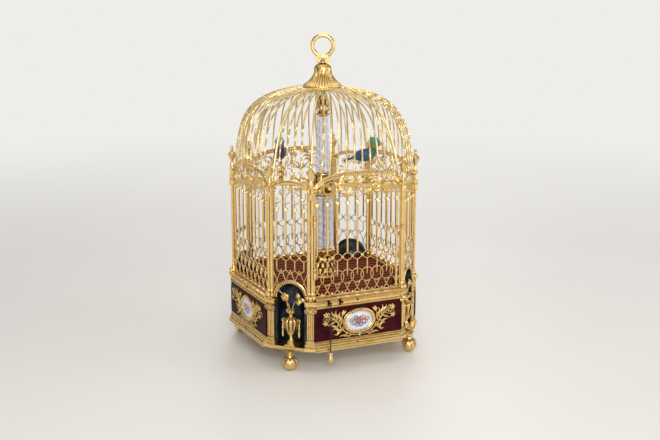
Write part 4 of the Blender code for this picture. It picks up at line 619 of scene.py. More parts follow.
class FinishMaker:
    """Turns a finish into a node material, made once."""

    def __init__(self, finish: Finish) -> None:
        """Start a material for a finish."""
        self.finish = finish
        self.material = bpy.data.materials.new(finish.name)
        self.material.use_nodes = True
        self.tree = self.material.node_tree
        self.shader = self.tree.nodes["Principled BSDF"]
        self.place = node(self.tree, "TexCoord").outputs["Object"]
        self.flow = node(self.tree, "Attribute", attribute_name="flow").outputs["Vector"]

    def ramp(self, fac: bpy.types.NodeSocket, stops: Sequence[tuple[float, str]]) -> bpy.types.NodeSocket:
        """A colour ramp with stops of (place, hex colour)."""
        made = node(self.tree, "ValToRGB", {"Fac": fac})
        ramp = made.color_ramp
        for k, (at, code) in enumerate(stops):
            stop = ramp.elements[k] if k < 2 else ramp.elements.new(at)
            stop.position = at
            stop.color = linear(code)
        return made.outputs["Color"]

    def mix(self, fac: bpy.types.NodeSocket | float, a: bpy.types.NodeSocket | Sequence[float],
            b: bpy.types.NodeSocket | Sequence[float], blend: str = "MIX") -> bpy.types.NodeSocket:
        """Two colours mixed."""
        return node(self.tree, "Mix", {0: fac, 6: a, 7: b}, data_type="RGBA", blend_type=blend).outputs[2]

    def maths(self, operation: str, a: bpy.types.NodeSocket | float,
              b: bpy.types.NodeSocket | float = 0.0) -> bpy.types.NodeSocket:
        """A sum on one or two numbers."""
        return node(self.tree, "Math", {0: a, 1: b}, operation=operation).outputs[0]

    def noise(self, size: float, detail: float = 3.0,
              vector: bpy.types.NodeSocket | None = None) -> bpy.types.NodeSocket:
        """Noise whose patches are about a size across, in millimetres."""
        made = node(self.tree, "TexNoise", {"Vector": vector or self.place, "Scale": 1 / (size * MM),
                                            "Detail": detail})
        return made.outputs["Fac"]

    def relief(self) -> bpy.types.NodeSocket:
        """Height of the surface's small relief, 0 to 1, by the finish's pattern."""
        f = self.finish
        if f.pattern is Pattern.STIPPLED:
            cells = node(self.tree, "TexVoronoi", {"Vector": self.place, "Scale": 1 / (f.tooth * MM)})
            return cells.outputs["Distance"]
        if f.pattern is Pattern.BRUSHED:
            drawn = node(self.tree, "Mapping", {"Vector": self.place, "Scale": (1.0, 1.0, 0.08)})
            return self.noise(f.tooth * 0.5, 2.0, drawn.outputs["Vector"])
        if f.pattern is Pattern.SLATTED:
            wave = node(self.tree, "TexWave", {"Vector": self.place, "Scale": 21.0, "Distortion": 0.9,
                                               "Detail": 1.0}, wave_profile="SIN", bands_direction="Y")
            return self.maths("POWER", wave.outputs["Fac"], 0.35)
        if f.pattern in (Pattern.TWISTED, Pattern.FEATHERED):
            rows = (6.0, 26.0) if f.pattern is Pattern.FEATHERED else (3.0, 60.0)
            scaled = node(self.tree, "Mapping", {"Vector": self.flow, "Scale": (*rows, 1.0)})
            cells = node(self.tree, "TexVoronoi", {"Vector": scaled.outputs["Vector"], "Scale": 1.0,
                                                   "Randomness": 0.55})
            return self.maths("SUBTRACT", 1.0, cells.outputs["Distance"])
        return self.noise(f.tooth, 2.0)

    def build(self) -> bpy.types.Material:
        """Link colour, painted shade in hollows, wear, roughness and relief, and return the material."""
        f, tree, shader = self.finish, self.tree, self.shader
        hollow, body, rubbed = f.colours
        patches = self.noise(f.grain, 4.0)
        height = self.relief()
        if f.painted:
            paint = node(tree, "Attribute", attribute_name="paint").outputs["Color"]
            colour = self.mix(self.maths("MULTIPLY", patches, 0.25), paint, linear(rubbed), "SOFT_LIGHT")
            if f.pattern is Pattern.FEATHERED:
                barbs = self.ramp(height, ((0.35, "5A5A66"), (0.8, "FFFFFF")))
                colour = self.mix(0.75, colour, barbs, "MULTIPLY")
        else:
            colour = self.ramp(patches, ((0.3, body), (0.72, rubbed)))
            colour = self.mix(0.72, colour, linear(body))
            if f.pattern in (Pattern.CLOUDED, Pattern.SLATTED):
                source = height if f.pattern is Pattern.SLATTED else patches
                colour = self.ramp(source, ((0.34, hollow), (0.5, body), (0.74, rubbed)))
        # Painted shade: each point's painted shade and, on metals, ambient occlusion within 2.4 mm darken the
        # colour towards the hollows' colour.
        depth = node(tree, "Attribute", attribute_name="painted_shade").outputs["Fac"]
        if f.metallic > 0.5:
            shut = node(tree, "AmbientOcclusion", {"Distance": 2.4 * MM}, samples=5)
            closed = self.maths("SUBTRACT", 1.0, shut.outputs["AO"])
            depth = self.maths("MAXIMUM", depth, self.maths("MULTIPLY", closed, 0.9))
        depth = node(tree, "MapRange", {"Value": depth, "From Min": 0.12, "From Max": 0.95,
                                        "To Max": 0.9}).outputs[0]
        colour = self.mix(depth, colour, linear(hollow))
        tree.links.new(colour, shader.inputs["Base Color"])
        shader.inputs["Metallic"].default_value = f.metallic
        rough = node(tree, "MapRange", {"Value": patches, "From Min": 0.3, "From Max": 0.7,
                                        "To Min": max(0.02, f.roughness - f.spread),
                                        "To Max": f.roughness + f.spread}).outputs[0]
        tree.links.new(rough, shader.inputs["Roughness"])
        bump = node(tree, "Bump", {"Height": height, "Strength": 0.7, "Distance": f.relief * MM})
        tree.links.new(bump.outputs[0], shader.inputs["Normal"])
        for key, value in (
                ("Coat Weight", f.coat), ("Transmission Weight", f.clear), ("Sheen Weight", f.sheen),
                ("Specular IOR Level", f.specular)):
            shader.inputs[key].default_value = value
        if f.coat:
            shader.inputs["Coat Roughness"].default_value = 0.08
        self.material.diffuse_color = linear(body)
        return self.material


MADE: dict[str, bpy.types.Material] = {}


def dress(thing: bpy.types.Object, finish: Finish) -> None:
    """Give an object one finish."""
    if finish.name not in MADE:
        MADE[finish.name] = FinishMaker(finish).build()
    thing.data.materials.clear()
    thing.data.materials.append(MADE[finish.name])


# Small ornaments


def rosette(shell: Shell, centre: Sequence[float], radius: float, petals: int = 6,
            plump: float = 0.3, phase: float = 0.0) -> None:
    """A flower in a face's plane: petals round a bead.

    Args:
        shell: The shell it joins.
        centre: Its x, y and z.
        radius: Reach of its petals.
        petals: How many petals.
        plump: Half of a petal's width, as a share of the radius.
        phase: Turn of the first petal, in degrees.
    """
    x, y, z = centre
    for k in range(petals):
        a = radians(phase) + tau * k / petals
        c, s = np.cos(a), np.sin(a)
        keys = [(x, y - 0.1 * radius, z), (x + 0.55 * radius * c, y - 0.34 * radius, z + 0.55 * radius * s),
                (x + radius * c, y - 0.05 * radius, z + radius * s)]
        # Each petal has painted shade at its root, fading to none at its tip.
        shell.add(leaf(keys, plump * radius, 0.09 * radius, 6, 6, blunt=0.5),
                  np.linspace(0.5, 0.0, 6))
    shell.add(ball((x, y - 0.28 * radius, z), 0.24 * radius, 7, 5))


def palmette(shell: Shell, x: float, y: float, z: float, tall: float, wide: float) -> None:
    """A small fan of three leaves that stands on a rail."""
    shell.add(leaf([(x, y, z), (x, y - 0.3, z + tall * 0.5), (x, y, z + tall)], wide * 0.3, 0.5, 6, 5))
    for side in (-1, 1):
        keys = [(x, y, z), (x + side * wide * 0.6, y - 0.2, z + tall * 0.35),
                (x + side * wide, y, z + tall * 0.62)]
        shell.add(leaf(keys, wide * 0.2, 0.45, 6, 5))


def wreath(shell: Shell, count: int, keys: Sequence[tuple[float, float]], wide: float, phase: float = 0.0,
           thick: float = 0.8, steps: int = 12, sides: int = 6, shade: float = 0.5, blunt: float = 0.8,
           tilt: float = 0.25, at: Sequence[float] = (0.0, 0.0)) -> None:
    """Leaves round an upright axis, all along the same (reach, height) keys.

    Args:
        shell: The shell it joins.
        count: How many leaves.
        keys: Reach from the axis and height of points along a leaf.
        wide: Half of a leaf's width.
        phase: Turn of the first leaf, as a share of the step between two.
        thick: Half of a leaf's thickness.
        steps: Points along a leaf.
        sides: Points round a leaf.
        shade: Painted shade at its root, fading to none at its tip.
        blunt: Power of its outline.
        tilt: How far its face looks up.
        at: The x and y of the axis.
    """
    for k in range(count):
        a = tau * (k + phase) / count
        c, s = np.cos(a), np.sin(a)
        path = [(at[0] + c * r, at[1] + s * r, z) for r, z in keys]
        shell.add(leaf(path, wide, thick, steps, sides, (c, s, tilt), blunt), np.linspace(shade, 0, steps))


# Studio


@dataclass
class Studio:
    """Camera, lamps, plain floor and sky, in metres and degrees."""

    target: float = 0.2078
    distance: float = 1.932
    azimuth: float = -25.0
    elevation: float = 12.87
    lens: float = 64.15
    shift: float = 0.0109
    floor_radius: float = 30.0
    floor_gap: float = 0.0006
    lamp_aim: float = 0.24

    def camera(self) -> None:
        """Set the camera at the photograph's angle."""
        data = bpy.data.cameras.new("view")
        data.lens, data.shift_x, data.clip_end = self.lens, self.shift, 100.0
        made = bpy.data.objects.new("view", data)
        bpy.context.scene.collection.objects.link(made)
        a, e = radians(self.azimuth), radians(self.elevation)
        d = self.distance
        made.location = (d * np.sin(a) * np.cos(e), -d * np.cos(a) * np.cos(e), self.target + d * np.sin(e))
        made.rotation_euler = (pi / 2 - e, 0.0, a)
        bpy.context.scene.camera = made

    def lamp(self, name: str, place: Sequence[float], size: float, watts: float,
             warmth: Sequence[float] = (1.0, 1.0, 1.0)) -> None:
        """A square softbox that looks at the middle of the cage."""
        data = bpy.data.lights.new(name, "AREA")
        data.size, data.energy, data.color = size, watts, warmth
        made = bpy.data.objects.new(name, data)
        bpy.context.scene.collection.objects.link(made)
        made.location = place
        x, y, z = place
        made.rotation_euler = (atan2(hypot(x, y), z - self.lamp_aim), 0.0, atan2(x, -y))

    def floor(self) -> None:
        """A wide pale floor with a faint mottle."""
        t = around(64)
        rings = np.array([[0.0], [0.6], [2.0], [8.0], [self.floor_radius]])
        grid = points_of(rings * np.cos(t), rings * np.sin(t), -self.floor_gap)
        i, j = np.arange(1, 4)[:, None] * 64, np.arange(64)[None]
        quads = np.stack([i + j, i + (j + 1) % 64, i + 64 + (j + 1) % 64, i + 64 + j], -1)
        faces = [[64 + k for k in range(64)]] + quads[:, :, ::-1].reshape(-1, 4).tolist()
        mesh = bpy.data.meshes.new("studio_floor")
        mesh.from_pydata(grid.reshape(-1, 3).tolist(), [], faces)
        made = bpy.data.objects.new("studio_floor", mesh)
        bpy.context.scene.collection.objects.link(made)
        material = bpy.data.materials.new("pale_studio_floor")
        material.use_nodes = True
        tree = material.node_tree
        place = node(tree, "TexCoord").outputs["Object"]
        mottle = node(tree, "TexNoise", {"Vector": place, "Scale": 2.0, "Detail": 3.0})
        ramp = node(tree, "ValToRGB", {"Fac": mottle.outputs["Fac"]})
        ramp.color_ramp.elements[0].color = linear("E2DFDA")
        ramp.color_ramp.elements[1].color = linear("EBE9E5")
        shader = tree.nodes["Principled BSDF"]
        tree.links.new(ramp.outputs["Color"], shader.inputs["Base Color"])
        shader.inputs["Roughness"].default_value = 0.55
        seen = self.seen_rays(tree)
        reach = node(tree, "VectorMath", {0: place}, operation="LENGTH").outputs["Value"]
        far = node(tree, "MapRange", {"Value": reach, "From Min": 0.45, "From Max": 2.4},
                   interpolation_type="SMOOTHSTEP").outputs[0]
        glow = node(tree, "Emission", {"Color": linear("EFEDE9"), "Strength": 1.0})
        share = node(tree, "Math", {0: far, 1: seen}, operation="MULTIPLY").outputs[0]
        blend = node(tree, "MixShader", {0: share, 1: shader.outputs[0], 2: glow.outputs[0]})
        tree.links.new(blend.outputs[0], tree.nodes["Material Output"].inputs["Surface"])
        mesh.materials.append(material)

    @staticmethod
    def seen_rays(tree: bpy.types.NodeTree) -> bpy.types.NodeSocket:
        """1 for what the eye, a polished metal or a glass sees, and 0 for light that spreads."""
        ray = node(tree, "LightPath").outputs
        some = node(tree, "Math", {0: ray["Is Camera Ray"], 1: ray["Is Glossy Ray"]}, operation="MAXIMUM")
        return node(tree, "Math", {0: some.outputs[0], 1: ray["Is Transmission Ray"]},
                    operation="MAXIMUM").outputs[0]

    def sky(self) -> None:
        """A soft sky: pale at the horizon, dim half-way up and bright overhead."""
        world = bpy.data.worlds.new("studio_sky")
        bpy.context.scene.world = world
        world.use_nodes = True
        tree = world.node_tree
        way = node(tree, "TexCoord").outputs["Generated"]
        height = node(tree, "SeparateXYZ", {"Vector": way}).outputs["Z"]
        ramp = node(tree, "ValToRGB", {"Fac": height})
        stops = ((0.0, "FFFFFF"), (0.14, "F4F2EE"), (0.3, "7C7A77"), (0.5, "6A6866"), (0.78, "F2F2F2"))
        for k, (at, code) in enumerate(stops):
            stop = ramp.color_ramp.elements[k] if k < 2 else ramp.color_ramp.elements.new(at)
            stop.position, stop.color = at, linear(code)
        tree.links.new(ramp.outputs["Color"], tree.nodes["Background"].inputs["Color"])
        tree.nodes["Background"].inputs["Strength"].default_value = 0.75

    def build(self) -> None:
        """Make all of it and set the plain view transform."""
        self.camera()
        self.floor()
        self.sky()
        self.lamp("key", (-0.9, -2.1, 1.2), 1.0, 36.0, (1.0, 0.98, 0.94))
        self.lamp("fill", (1.9, -1.2, 0.8), 1.2, 12.0)
        self.lamp("crown", (0.1, 0.2, 2.2), 1.4, 8.0)
        self.lamp("rim", (1.0, 1.8, 1.2), 1.0, 10.0)
        bpy.context.scene.view_settings.view_transform = "Standard"


# Cord and its pull


@dataclass
class SongCord:
    """The green silk cord that hangs from the left lever, and its acorn."""

    x: float = -52.8
    y: float = -142.0
    radius: float = 0.95
    low: float = 31.6
    high: float = 108.7

    def build(self) -> None:
        keys = [(self.x, self.y, self.high), (self.x, self.y, 100.7), (self.x + 0.4, self.y, 70.15),
                (self.x, self.y, 39.6), (self.x, self.y, self.low)]
        path = smooth(keys, 60)
        length = float(np.linalg.norm(np.diff(path, axis=0), axis=1).sum())
        silk = Shell()
        dense = smooth(keys, 180)
        silk.add(sweep(dense, lobed(12, 3, 0.2), self.radius * 1.04, (0, -1, 0),
                       np.linspace(0, tau * length / 6.5, 180)))
        cord = silk.piece("silk_cord", SILK, "song_pull", ["pull_cord"])
        pull = Shell()
        profile = [(0.6, 15.8), (3.0, 15.9), (4.1, 16.8), (4.2, 19.0), (3.7, 22), (2.9, 24.8), (2.3, 26.0),
                   (3.2, 26.6), (3.5, 27.4), (3.3, 29.6), (2.6, 30.4), (1.2, 31.0), (0.9, 31.3)]
        lobes = [0, 0, .05, .08, .05, 0, 0, 0, 0, 0, 0, 0, 0]
        pull.add(revolve(profile, 20, 10, lobes, at=(self.x, self.y)))
        acorn = pull.piece("acorn_pull", CHASED, "song_pull", ["cord_pull"])


# Pierced grilles


def line(shell: Shell, points: Array, radius: float = 0.8, end: float = 1e9) -> None:
    """A wire through (x, z) points in a face's plane, left out where |x| passes an end."""
    points = np.asarray(points, float)
    points = points[np.abs(points[:, 0]) <= end + 0.01]
    if len(points) > 1:
        shell.add(tube(in_face(points), radius))


def ring(shell: Shell, centre: Sequence[float], radius: float, thick: float, count: int = 28) -> None:
    """A closed round wire in a face's plane."""
    shell.add(sweep(spiral(centre, (radius, radius), (0, 360 - 360 / count), count), circle(6), thick,
                    closed=True), loop=True)


def upright(shell: Shell, x: float, low: float, high: float, boss: float, reach: float) -> None:
    """A bar with a pointed foot and the turned cross under its fork.

    Args:
        shell: The shell it joins.
        x: Its place along the face.
        low: Height of its foot.
        high: Height of its head.
        boss: Height of the cross.
        reach: How far the cross reaches.
    """
    keys = np.array([
        (low, 0.7), (low + 2.5, 1.65), (boss - 4.8, 1.6), (boss - 3.4, 2.1), (boss - 2.2, 1.3),
        (boss + 2.0, 1.2), (boss + 2.8, 1.6), (high, 0.8)])
    shell.add(tube(in_face(points_of(x, keys[:, 0])), keys[:, 1], 8))
    arm = np.array([
        (-1.08, 0.3), (-0.96, 1.6), (-0.76, 1.75), (-0.58, 1.0), (-0.28, 1.4), (0, 2.1), (0.28, 1.4),
        (0.58, 1.0), (0.76, 1.75), (0.96, 1.6), (1.08, 0.3)])
    shell.add(tube(in_face(points_of(x + reach * arm[:, 0], boss)), arm[:, 1], 7))


@dataclass(frozen=True)
class Bars:
    """The evenly spaced bars of a pierced face, and the rows that run from bar to bar.

    Attributes:
        period: Distance from bar to bar.
        count: How many bars.
        end: Half of the face's width inside its border.
        top: Height of the bars' feet, at the top of the honeycomb.
        foot: Height of the honeycomb's foot.
        boss: Height of the turned crosses.
    """

    period: float
    count: int
    end: float
    top: float
    foot: float
    boss: float

    @property
    def stations(self) -> Array:
        """Places of the bars."""
        return self.period * (np.arange(self.count) - (self.count - 1) / 2)

    @property
    def middles(self) -> Array:
        """Places between the bars, with half a bay beyond each end."""
        return self.period * (np.arange(self.count + 1) - self.count / 2)

    @property
    def crossing(self) -> float:
        """Height of the honeycomb's crossings."""
        return (self.top + self.foot) / 2

    def forks(self, shell: Shell, spring: float, rise: float, radius: float) -> None:
        """Round arches of a wire that spring from bar to bar: rise times sin t to the power 0.8."""
        t = np.linspace(0, pi, 13)
        for x in self.middles:
            arch = points_of(x - self.period / 2 * np.cos(t), spring + rise * np.sin(t) ** 0.8)
            line(shell, arch, radius, end=self.end)

    def honeycomb(self, shell: Shell, radius: float, flower: float) -> None:
        """Crossed wires between the bars' feet and the short bars, a flower at each crossing."""
        for x in self.stations:
            for side in (-1, 1):
                for z in (self.top, self.foot):
                    keys = [(x, z), (x + side * self.period * 0.3,
                                     (z + self.crossing) / 2 + (z - self.crossing) * 0.12),
                            (x + side * self.period / 2, self.crossing)]
                    line(shell, smooth(keys, 6), radius, end=self.end)
        for x in self.middles[1:-1]:
            rosette(shell, (x, -0.5, self.crossing), flower, 6, 0.34)


@dataclass
class LongGrille:
    """The pierced work of a long face, from the plinth to the dome's strap."""

    bars: Bars = Bars(period=17.2, count=9, end=75.6, top=184.1, foot=172.1, boss=264.0)
    ring_height: float = 146.3
    ring_radius: float = 11.0

    def lower_rows(self, shell: Shell) -> None:
        """Short tapering bars, the row of linked rings and the crossed arches under it."""
        end, r = self.bars.end, self.ring_radius
        z = np.array([146.9, 148.2, 160, 167, self.bars.foot])
        for x in self.bars.stations:
            shell.add(tube(in_face(points_of(x, z)), (0.5, 1.15, 1.2, 1.2, 0.9), 7))
            if abs(x) + r < end:
                ring(shell, (x, self.ring_height), r, 0.8)
            else:
                t = np.radians(np.linspace(52, 308, 22))
                cut = points_of(x + np.sign(x) * r * np.cos(t), self.ring_height + r * np.sin(t))
                line(shell, cut, 0.8, end=end)
        limb = ((0, 140.2), (4.6, 134.8), (8.6, 127.0), (14.1, 119.6))
        for x in self.bars.middles:
            for side in (-1, 1):
                keys = [(x + side * reach, height) for reach, height in limb]
                line(shell, smooth(keys, 12), 0.8, end=end)
            if abs(x) < end:
                palmette(shell, x, -0.9, 118.6, 5.2, 5.4)

    def scrolls(self, shell: Shell) -> None:
        """The great rings with their comb leaves and rosettes, mirrored about the middle."""
        half = Shell()
        ring(half, (17.2, 291.2), 16.9, 1.2, 44)
        line(half, smooth([(27, 278.5), (18.5, 277.6), (10.2, 281.6), (6.0, 288.6), (8.2, 295.0)], 22), 0.95)
        rosette(half, (8.6, -1.0, 297.0), 3.9, 8, 0.24)
        for (x0, z0), (x1, z1), (x2, z2) in (
                ((31.6, 297.5), (24.5, 300.8), (15.6, 296.2)), ((28.6, 302.6), (21.6, 304.8), (13.2, 301.6)),
                ((33.4, 291.6), (27.2, 294.6), (19.4, 290.8)), ((33.0, 286.4), (28.4, 288.4), (22.8, 285.4))):
            keys = [(x0, -0.8, z0), (x1, -1.8, z1), (x2, -0.8, z2)]
            # Each comb leaf has painted shade at its root, fading to none at its tip.
            half.add(leaf(keys, 1.75, 0.7, 10, 6), np.linspace(0.3, 0, 10))
        for x, lean in ((17.2, -4.2), (17.2, 4.4), (17.2, 0.4)):
            half.add(leaf([(x, -0.4, 275.4), (x + lean, -1.2, 280.4), (x + lean * 1.3, -0.8, 285.0)],
                          1.5, 0.6, 8, 6))
        ring(half, (47.2, 286.2), 10.6, 1.05, 32)
        line(half, smooth([
            (54, 279.4), (47.5, 278.9), (42.4, 283.4), (43.6, 289.4), (48.4, 289.6)], 20), 0.85)
        rosette(half, (48.4, -0.9, 287.2), 3.0, 6, 0.32)
        for tip in ((36.4, 296.8), (39.8, 300.2), (34.6, 279.4)):
            half.add(leaf([(36.4, -0.7, 287.4), ((36 + tip[0]) / 2 + 0.6, -1.5, (287.4 + tip[1]) / 2),
                           (tip[0], -0.7, tip[1])], 1.5, 0.6, 8, 6))
        line(half, spiral((64.6, 285.6), (6.6, 1.6), (-60, 420), 40)[:, [0, 2]], 0.9)
        rosette(half, (65.0, -0.9, 285.6), 3.0, 6, 0.32)
        half.add(leaf([(57.6, -0.7, 292.2), (62, -1.4, 295.0), (67.6, -0.7, 292.6)], 1.4, 0.6, 8, 6))
        line(half, smooth([(71.4, 272.6), (73.6, 277.4), (70.6, 281.6)], 8), 0.85)
        shell.join_both(half)
        line(shell, [(0, 274.2), (0, 304.8)], 0.8)
        for z, r in ((277.2, 1.6), (282.0, 1.9), (287.6, 2.2), (293.4, 1.8), (304.2, 1.5)):
            shell.add(ball((0, -0.4, z), r, 8, 6))
        for side in (-1, 1):
            shell.add(leaf([(0, -0.6, 296.6), (side * 2.6, -1.2, 300.6), (side * 4.4, -0.6, 305.2)], 1.4))

    def border(self, shell: Shell) -> None:
        """The band under the strap, with its shoulders, the uprights at the ends and the sill."""
        end, inner, foot, head = self.bars.end, 70.9, 118.3, 281.4
        section = [(-1.6, -0.9), (1.6, -0.9), (1.6, 0.6), (0.8, 1.15), (-0.8, 1.15), (-1.6, 0.6)]
        x = np.linspace(-inner, inner, 81)
        shell.add(sweep(in_face(points_of(x, PLAN.long_arch(x) - 5.6)), section))
        for side in (-1, 1):
            shell.add(sweep(in_face([(side * 74.7, foot), (side * 74.7, head)]), oblong(0.9, -0.9, 0.9)))
            shell.add(sweep(in_face([(side * inner, head), (side * end, head)]), section))
        sill = [(-1.0, -1.0), (1.0, -1.0), (1.0, 1.2), (0.2, 1.7), (-1.0, 1.7)]
        shell.add(sweep(in_face([(-end, foot), (end, foot)]), sill))

    def door_work(self, shell: Shell) -> None:
        """The stile by the bolt, the staples and the hinge's knuckles."""
        shell.add(block((67.0, -1.1, 117.4), (70.6, 1.0, 281.6), 0.35))
        shell.add(block((-75.6, -1.1, 117.4), (-73.0, 1.0, 281.6), 0.35))
        for x in (51.6, 68.8):
            shell.add(block((x - 1.3, -5.4, STAPLE[0]), (x + 1.3, -4.0, STAPLE[1]), 0.4))
            for z in (STAPLE[0], STAPLE[1] - STAPLE_BAR):
                shell.add(block((x - 1.3, -4.3, z), (x + 1.3, 0.6, z + STAPLE_BAR), 0.3))
        shell.add(block((49.6, -1.2, 213.2), (53.6, -0.6, 220.8), 0.2))
        for z in (157.0, 239.0):
            profile = [
                (2.1, z - 3), (2.35, z - 2.6), (2.0, z - 1.8), (2.0, z + 1.8), (2.35, z + 2.6), (2.1, z + 3)]
            shell.add(hollow(profile, PIVOT_BORE, 16, at=(PIVOT[0], PIVOT[1] + PLAN.post_line)), loop=True)
            shell.add(block((-74.6, -2.4, z - 2.6), (-71.2, -0.8, z + 2.6), 0.3))

    def build(self) -> None:
        """Make the three fixed faces and the door."""
        common = Shell()
        for x in self.bars.stations:
            upright(common, x, self.bars.top, 266.4, self.bars.boss, 4.4)
        for x in self.bars.middles[1:-1]:
            common.add(ball((x, -1.0, self.bars.crossing), 1.7, 8, 6))
        self.bars.forks(common, 266.2, 7.6, 0.85)
        self.bars.honeycomb(common, 0.78, 3.0)
        self.lower_rows(common)
        self.scrolls(common)
        self.border(common)
        door = common.turned(0)
        self.door_work(door)
        door.turned(0, (0, -PLAN.post_line, 0)).piece("door_pierced_work", GILT, "door", ["door_grille"])
        for name, turn in LONG_FACES.items():
            if name != "front":
                whole = common.turned(turn, (0, -PLAN.post_line, 0))
                whole.piece(f"pierced_work_{name}", GILT, "cage", [f"grille_{name}"])


@dataclass
class DoorFurniture:
    """The sliding bolt and the pivot rod."""

    height: float = 217.0

    def build(self) -> None:
        """Make the bolt, its two knobs and the rod with its finial."""
        bolt = Shell()
        z = self.height
        bolt.add(block((49.0, BOLT_LINE - 1.2, z - 1.2), (73.6, BOLT_LINE + 1.2, z + 1.2), 0.5))
        bolt.add(revolve([
            (0.9, z + 0.8), (0.7, z + 2.6), (1.1, z + 3.4), (2.2, z + 4.6), (2.4, z + 5.8), (1.9, z + 7.2),
            (0.6, z + 8.1)], 14, at=(58.4, BOLT_LINE)))
        bolt.add(revolve([(0.8, z + 0.8), (1.3, z + 2.0), (1.1, z + 3.2)], 10, at=(54.7, BOLT_LINE)))
        bolt.piece("sliding_bolt", GILT, "latch", ["latch_bolt"])
        rod = Shell()
        profile = [(0.9, 148.2), (0.9, 246.0), (1.8, 246.6), (1.9, 247.4), (1.0, 248.0), (0.3, 248.6)]
        low = [(0.4, 146.6), (1.6, 147.2), (1.7, 148.0)]
        rod.add(revolve(low + profile, 14, at=PIVOT))
        rod.piece("pivot_rod", GILT, "cage", ["hinge_rod"])


@dataclass
class CornerBay:
    """Two posts with their finials, and the short pierced face over its niche."""

    bars: Bars = Bars(period=14.95, count=4, end=29.6, top=186.5, foot=174.5, boss=256.0)
    lattice_foot: float = 118.0
    lattice_top: float = 160.0
    rim: float = 27.2

    def post(self) -> Shell:
        """A pair of colonnettes with beads at the foot and a gadrooned bud on top."""
        made = Shell()
        for side in (-1, 1):
            shaft = [
                (2.2, 115.6), (3.0, 116.6), (3.2, 118.6), (2.8, 120.6), (2.0, 122.0), (3.2, 123.4),
                (3.4, 124.8), (2.6, 126.4), (1.9, 127.4), (2.15, 129.0), (2.15, 200.0), (2.1, 280.0),
                (2.0, 290.4)]
            made.add(revolve(shaft, 14, at=(side * 2.4, -PLAN.post_circle)))
            made.add(ball((side * 4.9, -PLAN.post_circle - 2.6, 118.7), 2.9, 14, 9, 1.15))
        foot = [(4.6, 113.2), (5.4, 113.9), (5.4, 115.0), (4.4, 116.0), (3.0, 116.6)]
        bud = [(4.9, 290.4), (5.0, 291.2), (3.0, 292.6), (2.8, 293.8), (4.0, 295.4), (4.0, 296.6),
               (3.0, 298.6), (2.6, 300.6), (1.8, 302.4), (3.2, 305.6), (4.8, 309.2), (6.2, 312.6),
               (6.65, 314.4), (6.2, 315.4), (5.0, 316.6), (3.2, 318.4), (1.9, 320.4), (2.6, 322.4),
               (2.0, 323.9), (2.6, 325.8), (1.8, 327.8), (0.3, 329.0)]
        gadroons = [0, 0, 0, 0, 0, 0, 0, 0, .04, .1, .14, .14, .08, .1, .1, .06, 0, 0, 0, 0, 0, 0]
        made.add(revolve(foot, 32, at=(0, -PLAN.post_circle)))
        made.add(revolve(bud, 32, 8, gadroons, at=(0, -PLAN.post_circle)))
        made.add(ball((0, -PLAN.post_circle - 5.0, 118.7), 3.0, 14, 9, 1.15))
        cuff = [(3.2, 272.4), (4.4, 272.7), (4.55, 273.2), (4.55, 280.8), (4.4, 281.3), (3.2, 281.5)]
        made.add(revolve(cuff, 8, at=(0, -PLAN.post_circle)))
        return made

    def lattice(self, shell: Shell) -> None:
        """Diamonds between the short bars and the niche's rim, trimmed by the rim's circle."""
        z = np.linspace(self.lattice_foot, self.lattice_top, 36)
        for k in range(-5, 6):
            for side in (-1, 1):
                x = k * self.bars.period + side * (z - self.lattice_top) * 0.42
                keep = (np.abs(x) <= self.bars.end) & (np.hypot(x, z - PLAN.niche_spring) > self.rim)
                if keep.sum() > 2:
                    line(shell, points_of(x, z)[keep], 0.75)

    def archivolt(self, shell: Shell) -> None:
        """The fluted arch round the niche, in two mouldings."""
        t = np.linspace(0, pi, 193)
        inner = [(-1.9, -1.0), (1.9, -1.0), (2.0, 0.2), (1.0, 0.9), (-1.0, 0.9), (-2.0, 0.2)]
        outer = [(-0.8, -0.8), (0.8, -0.8), (0.9, 0.6), (0, 1.2), (-0.9, 0.6)]
        for radius, section in ((24.6, inner), (self.rim, outer)):
            path = points_of(-radius * np.cos(t), PLAN.niche_spring + radius * np.sin(t))
            flute = 0.5 + 0.5 * np.cos(t * 48) if section is inner else np.ones(193)
            # The inner moulding's grooves between its flutes get painted shade.
            shell.add(sweep(in_face(path), section, points_of(1.0, 0.35 + 0.65 * flute)), 1.3 * (1 - flute))

    def upper(self, shell: Shell) -> None:
        """Small scrolls and a palmette between the crosses and the strap."""
        half = Shell()
        line(half, smooth([(7.5, 259), (7.5, 272), (3.6, 279.4), (0, 282.0)], 14), 0.8)
        line(half, spiral((13.2, 280.6), (6.0, 1.6), (200, -220), 34)[:, [0, 2]], 0.9)
        rosette(half, (13.2, -0.8, 280.6), 2.6, 6, 0.32)
        line(half, smooth([(22.4, 259), (22.6, 268), (25.6, 275.4), (24.6, 282.6)], 14), 0.8)
        half.add(leaf([(22.6, -0.6, 270.6), (17.4, -1.4, 271.6), (14.6, -0.6, 267.4)], 1.3))
        half.add(leaf([(8.0, -0.6, 286.4), (5.0, -1.4, 291.0), (1.2, -0.6, 292.6)], 1.4))
        shell.join_both(half)
        palmette(shell, 0, -1.0, 283.0, 10.0, 5.2)

    def face(self) -> Shell:
        """The short face's pierced work in its own frame."""
        made = Shell()
        bars, top = self.bars, self.lattice_top
        z = np.array([top, 161.6, 168.4, bars.foot])
        for x in bars.stations:
            upright(made, x, bars.top, 259.6, bars.boss, 3.9)
            made.add(tube(in_face(points_of(x, z)), (0.6, 0.8, 1.1, 0.9), 7))
            for side in (-1, 1):
                line(made, [(x, top), (x + side * bars.period / 2, top - 6.4)], 0.75, end=bars.end)
        bars.forks(made, 259.2, 6.8, 0.8)
        bars.honeycomb(made, 0.75, 2.7)
        self.lattice(made)
        self.archivolt(made)
        self.upper(made)
        x = np.linspace(-28.6, 28.6, 33)
        made.add(sweep(in_face(points_of(x, PLAN.short_arch(x) - 4.9)), oblong(1.26, -1.0, 1.0)))
        for side in (-1, 1):
            made.add(sweep(in_face([(side * 28.8, 117.8), (side * 28.8, 290.0)]), oblong(0.9, -1.0, 1.0)))
        return made

